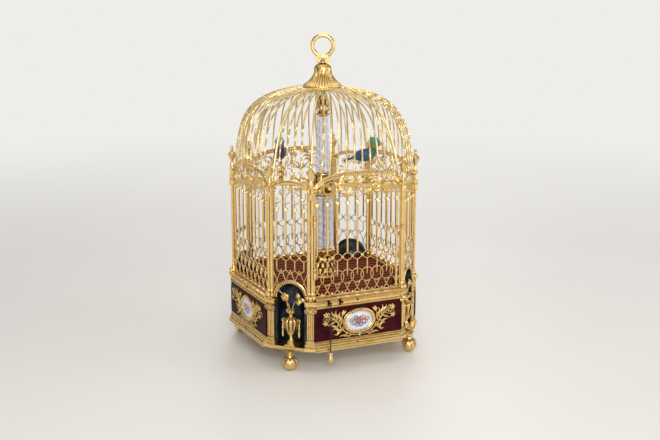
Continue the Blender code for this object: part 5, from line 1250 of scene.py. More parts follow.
    def hinge_eyes(self, shell: Shell) -> None:
        """Eyes on the front left post that carry the door's pivot rod."""
        for z, edge, top in ((150.6, 1.0, 1.6), (163.4, 1.0, 1.6), (232.6, 1.0, 1.6), (245.2, 0.4, 0.9)):
            profile = [(2.2, z - 1.6), (2.4, z - 1.0), (2.4, z + edge), (2.2, z + top)]
            shell.add(hollow(profile, PIVOT_BORE, 14, at=PIVOT), loop=True)
            shell.add(block((-79.0, -131.2, z - 1.2), (-76.3, -128.6, z + 0.6), 0.3))

    def keeper(self, shell: Shell) -> None:
        """The staple on the front right post that the bolt runs into."""
        for z in (STAPLE[0], STAPLE[1] - STAPLE_BAR):
            shell.add(block((76.0, -132.6, z), (81.2, -127.4, z + STAPLE_BAR), 0.35))
        shell.add(block((76.0, -133.0, STAPLE[0]), (81.2, -131.4, STAPLE[1]), 0.4))

    def build(self) -> None:
        """Make the four bays."""
        post, face = self.post(), self.face()
        for name, turn in SHORT_FACES.items():
            whole = Shell()
            for at in PLAN.post_turns(turn):
                whole.join(post, at)
            whole.join(face, turn, (0, -PLAN.short_line, 0))
            if name == "front_left":
                self.hinge_eyes(whole)
            if name == "front_right":
                self.keeper(whole)
            whole.piece(f"corner_work_{name}", GILT, "cage", [f"corner_bay_{name}"])


# Dome, crown and ring


@dataclass
class Dome:
    """Straps over the faces, yokes at the posts, ribs, twisted wires and the collar."""

    spring: float = 299.0
    radius: float = 141.6
    rise: float = 129.0
    ease: float = 0.06
    collar: float = 30.6
    top: float = 425.6
    wires_long: int = 10
    wires_short: int = 4
    pitch: float = 7.0
    steps: int = 190

    def outline(self, count: int) -> tuple[Array, Array]:
        """Radius and height from the collar down: a superellipse of power 2.5, drawn in at its shoulders."""
        t = pi / 2 * np.linspace(0.02, 1, count) ** 0.8
        share = np.cos(t).clip(0) ** 0.8
        drawn_in = 1 - self.ease * np.sin(pi * share ** 0.9)
        r = np.maximum(self.collar, self.radius * np.sin(t) ** 0.8 * drawn_in)
        return r, np.minimum(self.top, self.spring + self.rise * share)

    def wire(self, shell: Shell, face: float, offset: float, foot_line: float, arch: Callable) -> None:
        """A twisted wire from the collar to its strap, bent into the plane of its face."""
        r, z = self.outline(150)
        foot = float(arch(self.radius * np.sin(offset))) - 2.4
        weight = (r / self.radius) ** 4
        x = r * np.sin(offset)
        y = -(r * np.cos(offset) * (1 - weight) + weight * foot_line)
        keep = z > foot + 0.4
        path = points_of(x, y, z)[keep]
        path = np.vstack([path, (self.radius * np.sin(offset), -foot_line, foot)])
        share = np.linspace(0, 1, 4)[:-1, None]
        inside = share * (path[0] - (0, 0, 1.2)) + (1 - share) * (path[0] * (0.88, 0.88, 1) - (0, 0, 0.9))
        path = np.vstack([inside, path])
        run = np.concatenate([[0], np.cumsum(np.linalg.norm(np.diff(path, axis=0), axis=1))])
        even = np.linspace(0, run[-1], self.steps)
        path = np.stack([np.interp(even, run, path[:, k]) for k in range(3)], 1)
        side = np.array([np.cos(offset), np.sin(offset), 0.0])
        strands = sweep(path, lobed(7, 2, 0.2), 1.5, side, even * tau / self.pitch)
        shell.add(placed(strands, face))

    def rib(self, shell: Shell, turn: float) -> None:
        """A plain stout rib from the collar down to a yoke, with a bead where it lands."""
        r, z = self.outline(70)
        path = points_of(0.0, -r, z)[z > 291]
        path = np.vstack([path, (0, -self.radius, 289.8)])
        shell.add(placed(sweep(path, lobed(16, 2, 0.3), 2.2, (1, 0, 0)), turn))
        for z0, r0 in ((290.6, 2.6), (296.4, 2.4)):
            shell.add(placed(ball((0, -self.radius, z0), r0, 10, 6), turn))

    def yoke(self) -> Shell:
        """A moulded half collar behind a post."""
        t = np.linspace(radians(-14), radians(194), 25)
        path = points_of(6.7 * np.cos(t), -PLAN.post_circle + 6.7 * np.sin(t), 286.5)
        section = [(-3.7, -1.7), (-3.7, 1.5), (-2.6, 1.9), (-1.6, 1.2), (0, 1.9), (1.6, 1.2), (2.6, 1.9),
                   (3.7, 1.5), (3.7, -1.7)]
        made = Shell()
        made.add(sweep(path, section, normal=(0, 0, 1)))
        return made

    def build(self) -> None:
        """Make the dome."""
        band = [(-1.7, -1.3), (1.7, -1.3), (1.7, 0.5), (1.15, 0.9), (0.6, 0.75), (0, 1.4), (-0.6, 0.75),
                (-1.15, 0.9), (-1.7, 0.5)]
        straps = Shell()
        for faces, arch, reach, count, face_line in (
                (LONG_FACES, PLAN.long_arch, 76.4, 101, PLAN.post_line),
                (SHORT_FACES, PLAN.short_arch, 31.6, 49, PLAN.short_line)):
            x = np.linspace(-reach, reach, count)
            strap = sweep(in_face(points_of(x, arch(x) - 1.7), -face_line), band)
            for turn in faces.values():
                straps.add(placed(strap, turn))
        yoke = self.yoke()
        wires = Shell()
        for at in (a for turn in SHORT_FACES.values() for a in PLAN.post_turns(turn)):
            straps.join(yoke, at)
            self.rib(wires, at)
        for faces, count, half, face_line, arch in (
                (LONG_FACES, self.wires_long, PLAN.corner_turn, PLAN.post_line, PLAN.long_arch),
                (SHORT_FACES, self.wires_short, 45 - PLAN.corner_turn, PLAN.short_line, PLAN.short_arch)):
            for turn in faces.values():
                for k in range(count):
                    offset = radians(half) * (2 * (k + 1) / (count + 1) - 1)
                    self.wire(wires, turn, offset, face_line, arch)
        straps.add(revolve([
            (24.0, 423.9), (32.6, 423.9), (34.0, 424.8), (34.0, 426.2), (33.0, 427.4), (31.0, 428.0),
            (8.0, 428.0)], 64))
        straps.piece("dome_straps", GILT, "cage", ["dome_cage"])
        wires.piece("dome_wires", DRAWN, "cage", ["dome_cage"])


@dataclass
class Crown:
    """The fluted bell over the collar with its leafy knob, the stirrup and the hanging ring."""

    ring_height: float = 491.85
    ring_radius: float = 16.5
    ring_wire: float = 3.25
    ring_turn: float = -28.0

    def build(self) -> None:
        """Make the bell and the ring with its stirrup."""
        bell = Shell()
        profile = [(31.5, 428.3), (31.5, 430.0), (30.6, 430.9), (28.0, 432.5), (25.4, 434.2), (23.6, 435.6),
                   (21.2, 438.2), (17.3, 443.4), (15.1, 447.2), (13.8, 450.0), (12.9, 452.4), (12.3, 454.0)]
        bell.add(revolve(profile, 256, 32, [0, .01, .05, .07, .08, .08, .08, .08, .08, .08, .05, .02]))
        bell.add(revolve([
            (11.4, 450.4), (12.6, 453.0), (12.9, 456.0), (12.5, 459.0), (11.3, 461.2), (9.0, 463.0),
            (5.8, 464.0), (2.4, 464.4), (2.4, 466.9), (4.3, 467.2), (4.4, 468.0), (3.2, 469.8),
            (1.0, 471.0)], 60, 10, [.02, .06, .08, .08, .08, .06, 0, 0, 0, 0, 0, 0, 0]))
        for k in range(10):
            a = tau * k / 10
            keys = [((q + 0.25) * np.cos(a + swirl), (q + 0.25) * np.sin(a + swirl), z) for q, z, swirl in (
                (14.6, 447.6, 0.0), (13.1, 452.6, 0.12), (12.8, 457.6, 0.3), (10.2, 462.0, 0.55))]
            # Each leaf has painted shade at its root, fading to none at its tip.
            bell.add(leaf(keys, 3.0, 0.6, 12, 6, normal=(np.cos(a + 0.2), np.sin(a + 0.2), 0.2), blunt=0.6),
                     np.linspace(0.35, 0, 12))
        bell.piece("fluted_bell", CHASED, "cage", ["crown"])
        top = Shell()
        path = spiral((0, self.ring_height), (self.ring_radius, self.ring_radius), (0, 360 - 360 / 64), 64)
        top.add(placed(sweep(path, circle(16), self.ring_wire, closed=True), self.ring_turn), loop=True)
        loops = Shell()
        arch = [(-8.6, 465.4), (-8.9, 468.6), (-8.9, 472.4), (-6.4, 475.0), (0, 475.6), (6.4, 475.0),
                (8.9, 472.4), (8.9, 468.6), (8.6, 465.4)]
        section = [(-2.3, -3.4), (2.3, -3.4), (2.7, -2.4), (2.7, 2.4), (2.3, 3.4), (-2.3, 3.4), (-2.7, 2.4),
                   (-2.7, -2.4)]
        loops.add(sweep(in_face(smooth(arch, 41)), section))
        loops.add(block((-6.7, -3.0, 471.8), (6.7, 3.0, 476.0), 0.8))
        top.join(loops, self.ring_turn)
        top.add(hollow([(7.6, 464.8), (8.8, 465.4), (8.8, 466.4), (7.6, 467.0)], 2.8, 32), loop=True)
        top.piece("hanging_ring_polished", GILT, "ring", ["hanging_ring"])


# Plinth


def run_of(shell: Shell, profile: Sequence[Sequence[float]], x0: float, x1: float, line_y: float,
           turn: float) -> None:
    """A moulding: a (reach, height) profile carried along a face from x0 to x1, then turned."""
    rows = np.asarray(profile, float)
    shell.add(placed(points_of(np.array([[x0], [x1]]), -line_y - rows[:, 0], rows[:, 1]), turn))


@dataclass
class Plinth:
    """The enamelled plinth: mouldings, pilasters, shelves, panels and the levers' slots."""

    cornice: tuple = (
        (-5, 117), (10.5, 117), (11.2, 116), (10.6, 114.9), (8.8, 113.7), (7.4, 112.2), (6.7, 110.6),
        (6.5, 109.7), (7.3, 109.4), (7.3, 108.6), (6.2, 108.3), (6.2, 104.4), (7.4, 104.1), (8.4, 103.3),
        (8.4, 102.2), (7.3, 101.4), (6.1, 101.1), (6.1, 100.5), (-5, 100.5))
    base: tuple = (
        (-8, 32.3), (11.6, 32.3), (11.6, 34.2), (10.8, 35.0), (11.6, 35.8), (11.6, 37.6), (10.7, 38.9),
        (9.1, 39.5), (9.6, 40.7), (9.3, 42.2), (8.0, 42.9), (8.6, 44.1), (8.2, 45.5), (6.9, 46.1),
        (7.6, 47.1), (7.0, 48.4), (4, 48.4), (4, 37.7), (-8, 37.7))
    half: float = 74.6
    slots: tuple = (-52.8, -33.1)
    flute_band: tuple = (104.6, 108.1)
    flute_end: float = 69.6
    flute_pitch: float = 2.2
    flute_depth: float = 0.45
    panel: tuple = (
        (4.6, 48.6), (6.6, 48.6), (7.0, 49.0), (7.12, 58), (7.16, 74.5), (7.12, 91), (7.0, 100.0),
        (6.6, 100.4), (4.6, 100.4))
    panel_half: float = 76.2

    def mouldings(self, shell: Shell) -> None:
        """Cornice and base of the four long faces, with the fine flutes."""
        for name, turn in LONG_FACES.items():
            if name == "front":
                self.slotted(shell, turn)
            else:
                run_of(shell, self.cornice, -self.half, self.half, PLAN.post_line, turn)
            run_of(shell, self.base, -self.half, self.half, PLAN.post_line, turn)
            shell.join(self.flutes(self.slots if name == "front" else ()), turn, (0, -PLAN.post_line, 0))

    def flutes(self, gaps: Sequence[float]) -> Shell:
        """The fine flutes of the cornice's band, depth times |sin(pi x / pitch)|, left out round each gap."""
        made = Shell()
        low, high = self.flute_band
        edges = [-self.flute_end, *(e for x in gaps for e in (x - 1.8, x + 1.8)), self.flute_end]
        for x0, x1 in zip(edges[::2], edges[1::2]):
            x = np.linspace(x0, x1, int((x1 - x0) / (self.flute_pitch / 4)) + 2)
            out = -6.1 - self.flute_depth * np.abs(np.sin(pi * x / self.flute_pitch))
            rows = [points_of(x, y, z) for y, z in ((-5.0, low), (out, low), (out, high), (-5.0, high))]
            made.add(np.stack(rows, axis=1))
        return made

    def slotted(self, shell: Shell, turn: float) -> None:
        """The front cornice, split round the two lever slots, with their gilt borders."""
        edges = [-self.half, *(e for x in self.slots for e in (x - 1.7, x + 1.7)), self.half]
        for x0, x1 in zip(edges[::2], edges[1::2]):
            run_of(shell, self.cornice, x0, x1, PLAN.post_line, turn)
        over = [p for p in self.cornice if p[1] >= 112.2]
        under = [p for p in self.cornice if p[1] <= 104.4]
        for x in self.slots:
            run_of(shell, [*over, (-5, 112.2)], x - 1.8, x + 1.8, PLAN.post_line, turn)
            run_of(shell, [(-5, 104.4), *under], x - 1.8, x + 1.8, PLAN.post_line, turn)
            for side in (-1, 1):
                low = (x + side * 2.5 - 0.8, -134.9, 103.8)
                shell.add(block(low, (low[0] + 1.6, -132.8, 113.0), 0.4))

    def pilaster(self) -> Shell:
        """A pilaster under a post: moulded base, fluted shaft, scrolled capital and abacus."""
        made = Shell()
        back, front = -140.5, -154.5
        parts = (
            (10.5, 32.3, 37.8, 0.0), (10.0, 37.8, 39.2, 0.7), (8.6, 39.2, 42.0, 1.6), (9.2, 42.0, 44.0, 1.0),
            (7.6, 44.0, 46.4, 2.2), (8.2, 46.4, 48.2, 1.6), (6.9, 48.2, 50.0, 2.6), (6.0, 50.0, 92.4, 4.0),
            (6.8, 92.4, 93.8, 2.4), (6.2, 93.8, 103.0, 2.8), (7.6, 103.0, 104.2, 2.0),
            (9.3, 104.2, 105.4, 0.4), (8.9, 105.4, 110.4, 0.8), (9.7, 110.4, 112.8, 0.0))
        for half, low, high, inset in parts:
            made.add(block((-half, front + inset, low), (half, back, high), 0.45))
        made.add(block((-8.3, back - 0.6, 37.8), (8.3, -126.5, 112.0), 0.4))
        for x in (-4.5, -1.5, 1.5, 4.5):
            made.add(revolve([
                (0.3, 50.2), (1.2, 51.0), (1.25, 71.0), (1.2, 91.4), (0.3, 92.2)], 10, at=(x, front + 3.9)))
        for side in (-1, 1):
            made.add(sweep(spiral((side * 6.0, 98.4), (4.3, 1.0), (90, 90 + side * 560), 40, front + 1.8),
                           circle(6, 1.0, 1.3), np.linspace(1.15, 0.65, 40)))
            made.add(ball((side * 6.0, front + 1.0, 98.4), 1.3, 8, 5))
        for x in (-2.2, 0.0, 2.2):
            made.add(ball((x, front + 2.4, 101.2), 1.15, 8, 6, 1.3))
        made.add(leaf([(0, front + 2.6, 93.8), (0, front + 1.4, 96.8), (0, front + 2.4, 99.6)], 1.9, 0.7, 7))
        return made

    def shelves(self, shell: Shell) -> None:
        """Moulded shelves under the niches, from pilaster to pilaster."""
        rim = ((-26, 32.4), (6.6, 32.4), (7.4, 33.4), (6.6, 34.4), (7.4, 35.4), (7.4, 36.6), (6.0, 37.7),
               (-26, 37.7))
        for turn in SHORT_FACES.values():
            run_of(shell, rim, -24.5, 24.5, PLAN.short_line, turn)

    def build(self) -> None:
        """Make the gilt frame, the screws' heads and the enamelled panels."""
        frame = Shell()
        self.mouldings(frame)
        pilaster = self.pilaster()
        for at in (a for turn in SHORT_FACES.values() for a in PLAN.post_turns(turn)):
            frame.join(pilaster, at)
        self.shelves(frame)
        frame.piece("plinth_mouldings", GILT, "cage", ["plinth_frame"])
        heads, screws = Shell(), Shell()
        for x, y, z in ((-2.6, -6.9, 108.9), (-2.6, -8.9, 41.2)):
            heads.add(ball((x, y, z), 1.5, 14, 7))
        for turn in LONG_FACES.values():
            screws.join(heads, turn, (0, -PLAN.post_line, 0))
        screws.piece("sunk_screw_heads", BLACKENED, "cage", ["plinth_frame"])
        for name, turn in LONG_FACES.items():
            slab = Shell()
            run_of(slab, self.panel, -self.panel_half, self.panel_half, PLAN.post_line, turn)
            slab.piece(f"fired_enamel_{name}", ENAMEL, "cage", [f"panel_{name}"])


@dataclass
class Niche:
    """A half-round niche with a quarter-dome head and a flat margin, in a short face."""

    radius: float = 22.9
    foot: float = 37.8
    margin: float = 5.2
    wall: float = 1.4

    def build(self) -> None:
        """Make the four smoke-blue shells."""
        rows, sides = 28, 33
        a = np.linspace(0, pi, sides)
        rise = np.concatenate([np.zeros(rows - 14), np.linspace(0, pi / 2, 14)])
        foot = np.concatenate([np.linspace(self.foot, PLAN.niche_spring, rows - 14, endpoint=False),
                               np.full(14, PLAN.niche_spring)])
        r = self.radius * np.cos(rise).clip(0.04)
        x, depth = -r[:, None] * np.cos(a)[None], r[:, None] * np.sin(a)[None]
        z = np.repeat((foot + self.radius * np.sin(rise) * 0.995)[:, None], sides, axis=1)
        brim = (self.radius + self.margin) * np.cos(rise).clip(0.04)[:, None]
        brim_z = (foot + (self.radius + self.margin) * np.sin(rise))[:, None]
        x, depth = np.hstack([-brim, x, brim]), np.hstack([0 * brim, depth, 0 * brim])
        z = np.hstack([brim_z, z, brim_z])
        grid = points_of(x, -(PLAN.short_line - self.wall) + depth, z)
        for name, turn in SHORT_FACES.items():
            made = Shell()
            made.add(placed(grid, turn), skin=True)
            made.piece(f"niche_shell_{name}", LACQUER, "cage", [f"niche_{name}"], wall=self.wall)


@dataclass
class Medallion:
    """An oval painted plaque in a pearled frame, with gilt foliage on the panel round it."""

    height: float = 74.5
    plane: float = -134.2
    plaque_wide: float = 22.8
    plaque_tall: float = 15.6

    def oval(self, a: float, b: float, y: float, count: int) -> Array:
        """Points of an ellipse on the panel."""
        t = around(count)
        return in_face(points_of(a * np.cos(t), self.height + b * np.sin(t)), y)

    def frame(self) -> Shell:
        """The moulded rims and the pearls between them."""
        made = Shell()
        y = self.plane
        # The flat band under the pearls gets painted shade.
        for a, b, lift, section, shade in (
                (27.6, 20.0, 1.0, [(-0.6, -1.0), (0.8, -1.0), (0.8, 0.3), (0, 0.7), (-0.6, 0.4)], 0.0),
                (23.4, 16.2, 1.4, [(-0.6, -1.2), (0.6, -1.2), (0.6, 0.4), (0, 0.8), (-0.6, 0.4)], 0.0),
                (25.5, 18.1, 0.5, oblong(1.6, -0.4, 0.1), 0.7)):
            made.add(sweep(self.oval(a, b, y - lift, 96), section, closed=True), shade, loop=True)
        for x, _, z in self.oval(25.5, 18.1, y, 40):
            made.add(ball((x, y - 1.6, z), 1.55, 10, 7))
        return made

    def plaque(self) -> Shell:
        """The domed plaque, with flowers painted on it as soft round patches of colour."""
        made = Shell()
        s, t = np.linspace(1.0, 0.004, 42)[:, None], around(144)
        x, z = self.plaque_wide * s * np.cos(t), self.plaque_tall * s * np.sin(t)
        grid = points_of(x, self.plane - 1.0 - 1.9 * (1 - s ** 2), self.height + z)
        back = points_of(x[:1], self.plane - 0.4, self.height + z[:1])
        paint = self.flowers(x, z)
        grid, paint = np.vstack([back, grid]), np.vstack([paint[:1], paint])
        made.add(grid, 0.0, paint)
        return made

    def flowers(self, x: Array, z: Array) -> Array:
        """Colours of the bouquet: each petal a soft-edged disc laid over those before it.

        Args:
            x: Places along the plaque.
            z: Heights from its middle.

        Returns:
            Linear colours, one a point.
        """
        ground = np.array(linear("DFE2EC")[:3]) + 0 * x[..., None]
        edge = np.clip(np.hypot(x / self.plaque_wide, z / self.plaque_tall), 0, 1)[..., None] ** 4
        colour = ground * (1 - edge) + np.array(linear("B2B8D2")[:3]) * edge
        deep, rose, violet, blue = "B3202E", "E4637A", "6C4FA8", "4A6FC4"
        green, straw, pale = "4E7A4A", "E8C85A", "F2C9D2"
        marks: list[tuple[float, float, float, str]] = []
        for cx, cz, size, petals, outer, inner in (
                (-1.5, 1.0, 4.6, 7, deep, rose), (-9.6, -1.8, 3.4, 6, blue, pale),
                (7.4, -1.6, 3.8, 6, violet, pale), (5.2, 5.2, 2.9, 6, rose, straw),
                (-7.0, 5.6, 2.7, 6, violet, straw), (13.4, 2.6, 2.6, 6, rose, pale),
                (-14.4, 2.6, 2.3, 5, rose, straw), (1.8, -6.2, 2.6, 6, blue, straw),
                (-4.6, -6.6, 2.2, 5, rose, pale)):
            for k in range(9):
                a = tau * k / 9 + cx
                marks.append((cx + 1.7 * size * np.cos(a), cz + 1.3 * size * np.sin(a), size * 0.34, green))
            for k in range(petals):
                a = tau * k / petals + cz
                marks.append((cx + 0.72 * size * np.cos(a), cz + 0.72 * size * np.sin(a), size * 0.46, outer))
            for k in range(5):
                a = tau * k / 5 + cx + cz
                marks.append((cx + 0.36 * size * np.cos(a), cz + 0.36 * size * np.sin(a), size * 0.26, inner))
            marks.append((cx, cz, size * 0.2, straw if inner is pale else deep))
        for cx, cz, size, code in marks:
            size *= 1.2
            near = np.clip(2.2 - 2.0 * np.hypot(x - cx, z - cz) / size, 0, 1)[..., None]
            shade = np.clip(0.78 + 0.3 * (z - cz) / size, 0.5, 1.1)[..., None]
            colour = colour * (1 - near) + np.array(linear(code)[:3]) * shade * near
        return colour

    def foliage(self) -> Shell:
        """Rinceaux at both sides: a rising stem with acanthus, buds and two flowers."""
        half = Shell()
        y = self.plane
        stem = [(-2.5, y - 0.7, 52.6), (6, y - 0.9, 52.3), (13.8, y - 1.1, 54), (22, y - 1.1, 57.8),
                (30, y - 1.2, 63.8), (36.2, y - 1.2, 73), (41.6, y - 1.2, 80.4), (49, y - 1.1, 84.4),
                (56, y - 1.0, 88.2)]
        half.add(sweep(smooth(stem, 44), circle(8), np.linspace(0.8, 0.95, 44)))
        half.add(sweep(smooth([(44, y - 1.1, 82.2), (50, y - 1.0, 80.2), (55.4, y - 0.9, 78.4)], 12),
                       circle(6), np.linspace(0.8, 0.5, 12)))
        for keys, wide in (
                (((30.6, 64.4), (36.2, 63.0), (41, 66.6), (46.4, 65.0)), 2.7),
                (((29.6, 63.2), (35.4, 59.4), (38.8, 56.6), (44.2, 57.4)), 2.3),
                (((35.6, 71.4), (40.8, 68.8), (45.2, 71.4), (50.2, 70.6)), 2.4),
                (((36.8, 74.6), (33.4, 80.4), (35.6, 86.8), (33.2, 92.8)), 2.6),
                (((39.8, 78.4), (38.8, 84.6), (41.6, 90.2), (40.2, 96.6)), 2.7),
                (((43.4, 81.6), (43.8, 87.4), (47.2, 91.4), (47.4, 96.0)), 2.3),
                (((40.4, 78.6), (46.0, 76.2), (50.6, 74.4), (55.4, 72.2)), 2.1),
                (((34.2, 70.0), (31.0, 75.6), (30.8, 82.4), (29.2, 88.0)), 2.0),
                (((20.4, 57.0), (25.6, 53.8), (30.4, 54.2), (34.8, 51.8)), 1.9),
                (((13.2, 54.0), (17.8, 51.6), (22.0, 52.8), (26.0, 50.8)), 1.6),
                (((24.0, 59.0), (27.4, 62.4), (28.2, 66.4), (31.0, 69.8)), 1.7),
                (((50.4, 85.2), (53.2, 82.2), (57.2, 83.4), (60.8, 82.4)), 1.6),
                (((46.0, 83.4), (50.4, 88.8), (52.4, 92.6), (56.4, 95.0)), 1.6)):
            path = [(px, y - 0.9 - 0.9 * np.sin(pi * k / 3), pz) for k, (px, pz) in enumerate(keys)]
            # Each leaf has painted shade at its root, fading to none at its tip.
            half.add(leaf(path, 0.72 * wide, 0.8, 12, 6), np.linspace(0.45, 0, 12))
            rib = [(px, py - 0.75, pz) for px, py, pz in path[:3]]
            half.add(sweep(smooth(rib, 8), circle(5), np.linspace(0.42, 0.2, 8)))
        rosette(half, (57.6, y - 1.6, 90.2), 5.4, 6, 0.25, 20)
        rosette(half, (58.6, y - 1.6, 77.4), 4.9, 5, 0.28)
        half.add(leaf([(29.6, y - 1.0, 86.6), (27.4, y - 2.2, 89.8), (23.0, y - 1.0, 93.2)], 2.2, 0.8, 10, 8))
        half.add(leaf([(29.6, y - 1.0, 86.6), (29.0, y - 2.0, 91.2), (26.6, y - 1.0, 95.4)], 1.7, 0.8, 10, 8))
        for k in range(4):
            half.add(ball((61.2 + 0.9 * k, y - 1.0, 84.4 - 1.9 * k), 0.9 - 0.1 * k, 6, 5))
        made = Shell()
        made.join_both(half)
        rosette(made, (0, y - 1.6, 52.4), 2.8, 6, 0.34)
        return made

    def build(self) -> None:
        """Make the plaque, frame and foliage of each long face."""
        parts = (("pearled_frame", self.frame(), GILT), ("painted_plaque", self.plaque(), PORCELAIN),
                 ("panel_foliage", self.foliage(), CHASED))
        for name, turn in LONG_FACES.items():
            for part, shell, finish in parts:
                shell.turned(turn).piece(f"{part}_{name}", finish, "cage", [f"medallion_{name}"])


@dataclass
class UrnFoot:
    """The ball foot with its urn, handles and cut stalks of flowers, in front of a niche."""

    axis: float = -144.2
    foot: float = -150.3

    def urn(self) -> Shell:
        """Square plinth, turned foot, leaf-wrapped body, fluted dish, handles and their drops."""
        made = Shell()
        here = (0, self.axis)
        made.add(block((-8.5, self.axis - 8.5, 37.9), (8.5, self.axis + 8.5, 41.2), 0.6))
        made.add(revolve([
            (7.6, 41.2), (7.8, 42.4), (6.6, 43.4), (6.9, 44.6), (5.0, 46.2), (3.2, 48.6), (2.3, 51.2),
            (2.4, 52.4), (3.6, 53.0), (3.9, 54.0), (3.2, 54.8)], 32, at=here))
        # The urn's body gets painted shade where its leaves wrap it, so that they stand out.
        made.add(revolve([
            (3.0, 54.4), (5.0, 55.8), (6.2, 58.0), (6.8, 61.0), (7.9, 66.0), (9.0, 71.6), (10.0, 75.4),
            (10.2, 78.4), (8.6, 80.8), (5.4, 83.0), (3.6, 84.0), (3.0, 86.2), (3.4, 88.6), (4.0, 89.6)], 60,
            at=here), [0, 0, .1, .5, .9, 1.1, 1.1, 1, .8, .4, 0, 0, 0, 0])
        made.add(revolve([
            (3.2, 89.2), (5.2, 90.4), (7.4, 92.4), (8.4, 94.4), (8.8, 95.6), (8.2, 96.0), (6.8, 94.8),
            (2.0, 93.6)], 64, 12, [0, .05, .07, .06, .04, .03, 0, 0], at=here))
        wreath(made, 10, ((3.8, 84.4), (9.6, 82.0), (11.6, 78.2), (10.2, 71.0), (8.4, 62.6)), 2.3, thick=1.0,
               steps=16, sides=8, shade=0.4, blunt=0.5, tilt=0.0, at=here)
        for side in (-1, 1):
            keys = [
                (side * 9.6, self.axis, 78.2), (side * 12.6, self.axis, 80.6),
                (side * 15.2, self.axis, 78.8), (side * 14.2, self.axis, 75.8),
                (side * 13.0, self.axis, 73.2)]
            made.add(sweep(smooth(keys, 20), circle(7), np.linspace(1.5, 1.0, 20)))
            drop = [(0.5, 51.0), (1.7, 52.6), (2.0, 56.0), (1.7, 61.0), (1.2, 64.4), (1.9, 65.6), (1.9, 67.4),
                    (1.1, 68.6), (1.7, 70.2), (1.7, 71.6), (0.8, 73.2)]
            made.add(revolve(drop, 14, at=(side * 13.6, self.axis - 0.3)))
        return made

    def stalks(self) -> Shell:
        """Three stalks out of the urn, with a double rosette, a lily of three petals and a ribbed bud."""
        made, a = Shell(), self.axis - 1.0
        for thick, *keys in (
                (0.8, (-3.4, 0, 94), (-4.4, -1.4, 102), (-5.6, -3.0, 109), (-7.0, -3.6, 116)),
                (0.8, (3.0, 0, 94), (4.0, -0.6, 102), (8.4, -1.4, 110.6), (15.2, -2.0, 115.0)),
                (0.7, (-1.2, 0, 94), (-3.4, 0, 104), (-12.2, -0.6, 119), (-22.0, -1.0, 128.6))):
            path = smooth(np.array(keys) + (0, a, 0), 18)
            made.add(sweep(path, lobed(10, 5, 0.16), np.linspace(thick, thick * 0.8, 18)))
        x, z = -7.2, 117.4
        for reach, lift, phase in ((7.4, a - 4.4, 0.5), (4.4, a - 6.0, 1.1)):
            for k in range(5):
                c, s = reach * np.cos(tau * k / 5 + phase), reach * np.sin(tau * k / 5 + phase)
                petal = [(x, lift, z), (x + 0.5 * c, lift - 2.0, z + 0.5 * s), (x + c, lift - 0.4, z + s)]
                # Each petal has painted shade at its root, fading to none at its tip.
                made.add(leaf(petal, 0.52 * reach, 0.9, 12, 8, blunt=0.9), np.linspace(0.8, 0, 12))
        made.add(ball((x, a - 8.0, z), 1.5, 10, 7))
        x, z = 15.4, 115.4
        for turn in (-16, 96, 186):
            c, s = 5.4 * np.sin(radians(turn)), 5.4 * np.cos(radians(turn))
            petal = [(x, a - 3.2, z), (x + c, a - 5.6, z + s), (x + 2 * c, a - 4.0, z + 2 * s)]
            # Each petal has painted shade at its root, fading to none at its tip.
            made.add(leaf(petal, 3.4, 0.9, 14, 8, blunt=0.75), np.linspace(0.6, 0, 14))
        made.add(ball((x, a - 5.2, z), 1.7, 8, 6))
        made.add(revolve([
            (0.5, 126.0), (1.2, 127.6), (1.4, 130.0), (1.1, 133.0), (0.3, 136.4)], 24, 5,
            [0, .16, .2, .16, 0], at=(-22.6, a - 1.0)))
        for side in (-1, 0, 1):
            made.add(leaf([(1.2 * side, a - 0.4, 93), (3.6 * side, a - 3.6, 96.6),
                           (5.6 * side, a - 5.8, 95.4)], 1.6, 0.7, 9))
        return made

    def ball_foot(self) -> Shell:
        """The ball in its calyx of leaves under a turned neck."""
        made = Shell()
        here = (0, self.foot)
        # The ball gets painted shade, rising towards its top under its calyx of leaves.
        made.add(revolve([
            (1.6, 0.0), (3.2, 0.2), (5.6, 1.2), (8.2, 3.6), (10.0, 7.0), (10.6, 10.4), (10.0, 14.0),
            (8.0, 17.4), (5.0, 19.8), (3.0, 20.6)], 40, at=here), [0, 0, 0, 0, .1, .2, .3, .4, .5, .5])
        made.add(revolve([
            (3.4, 20.2), (4.6, 20.8), (3.7, 22.4), (3.5, 24.0), (4.8, 25.0), (5.4, 26.2), (4.6, 27.4),
            (3.8, 28.4), (6.8, 30.2), (9.0, 31.4), (9.4, 32.2)], 40, at=here))
        wreath(made, 8, ((5.1, 20.6), (9.1, 18.2), (11.1, 14.0), (11.3, 9.0)), 3.3, thick=1.5, steps=16,
               sides=8, shade=0.6, tilt=0.0, at=here)
        return made

    def build(self) -> None:
        """Make the four feet."""
        body, stalks = self.urn(), self.stalks()
        body.join(self.ball_foot())
        for name, turn in SHORT_FACES.items():
            body.turned(turn).piece(f"urn_and_ball_{name}", GILT, "cage", [f"urn_foot_{name}"])
            stalks.turned(turn).piece(f"cut_flowers_{name}", CHASED, "cage", [f"urn_foot_{name}"])


# Fountain and birds


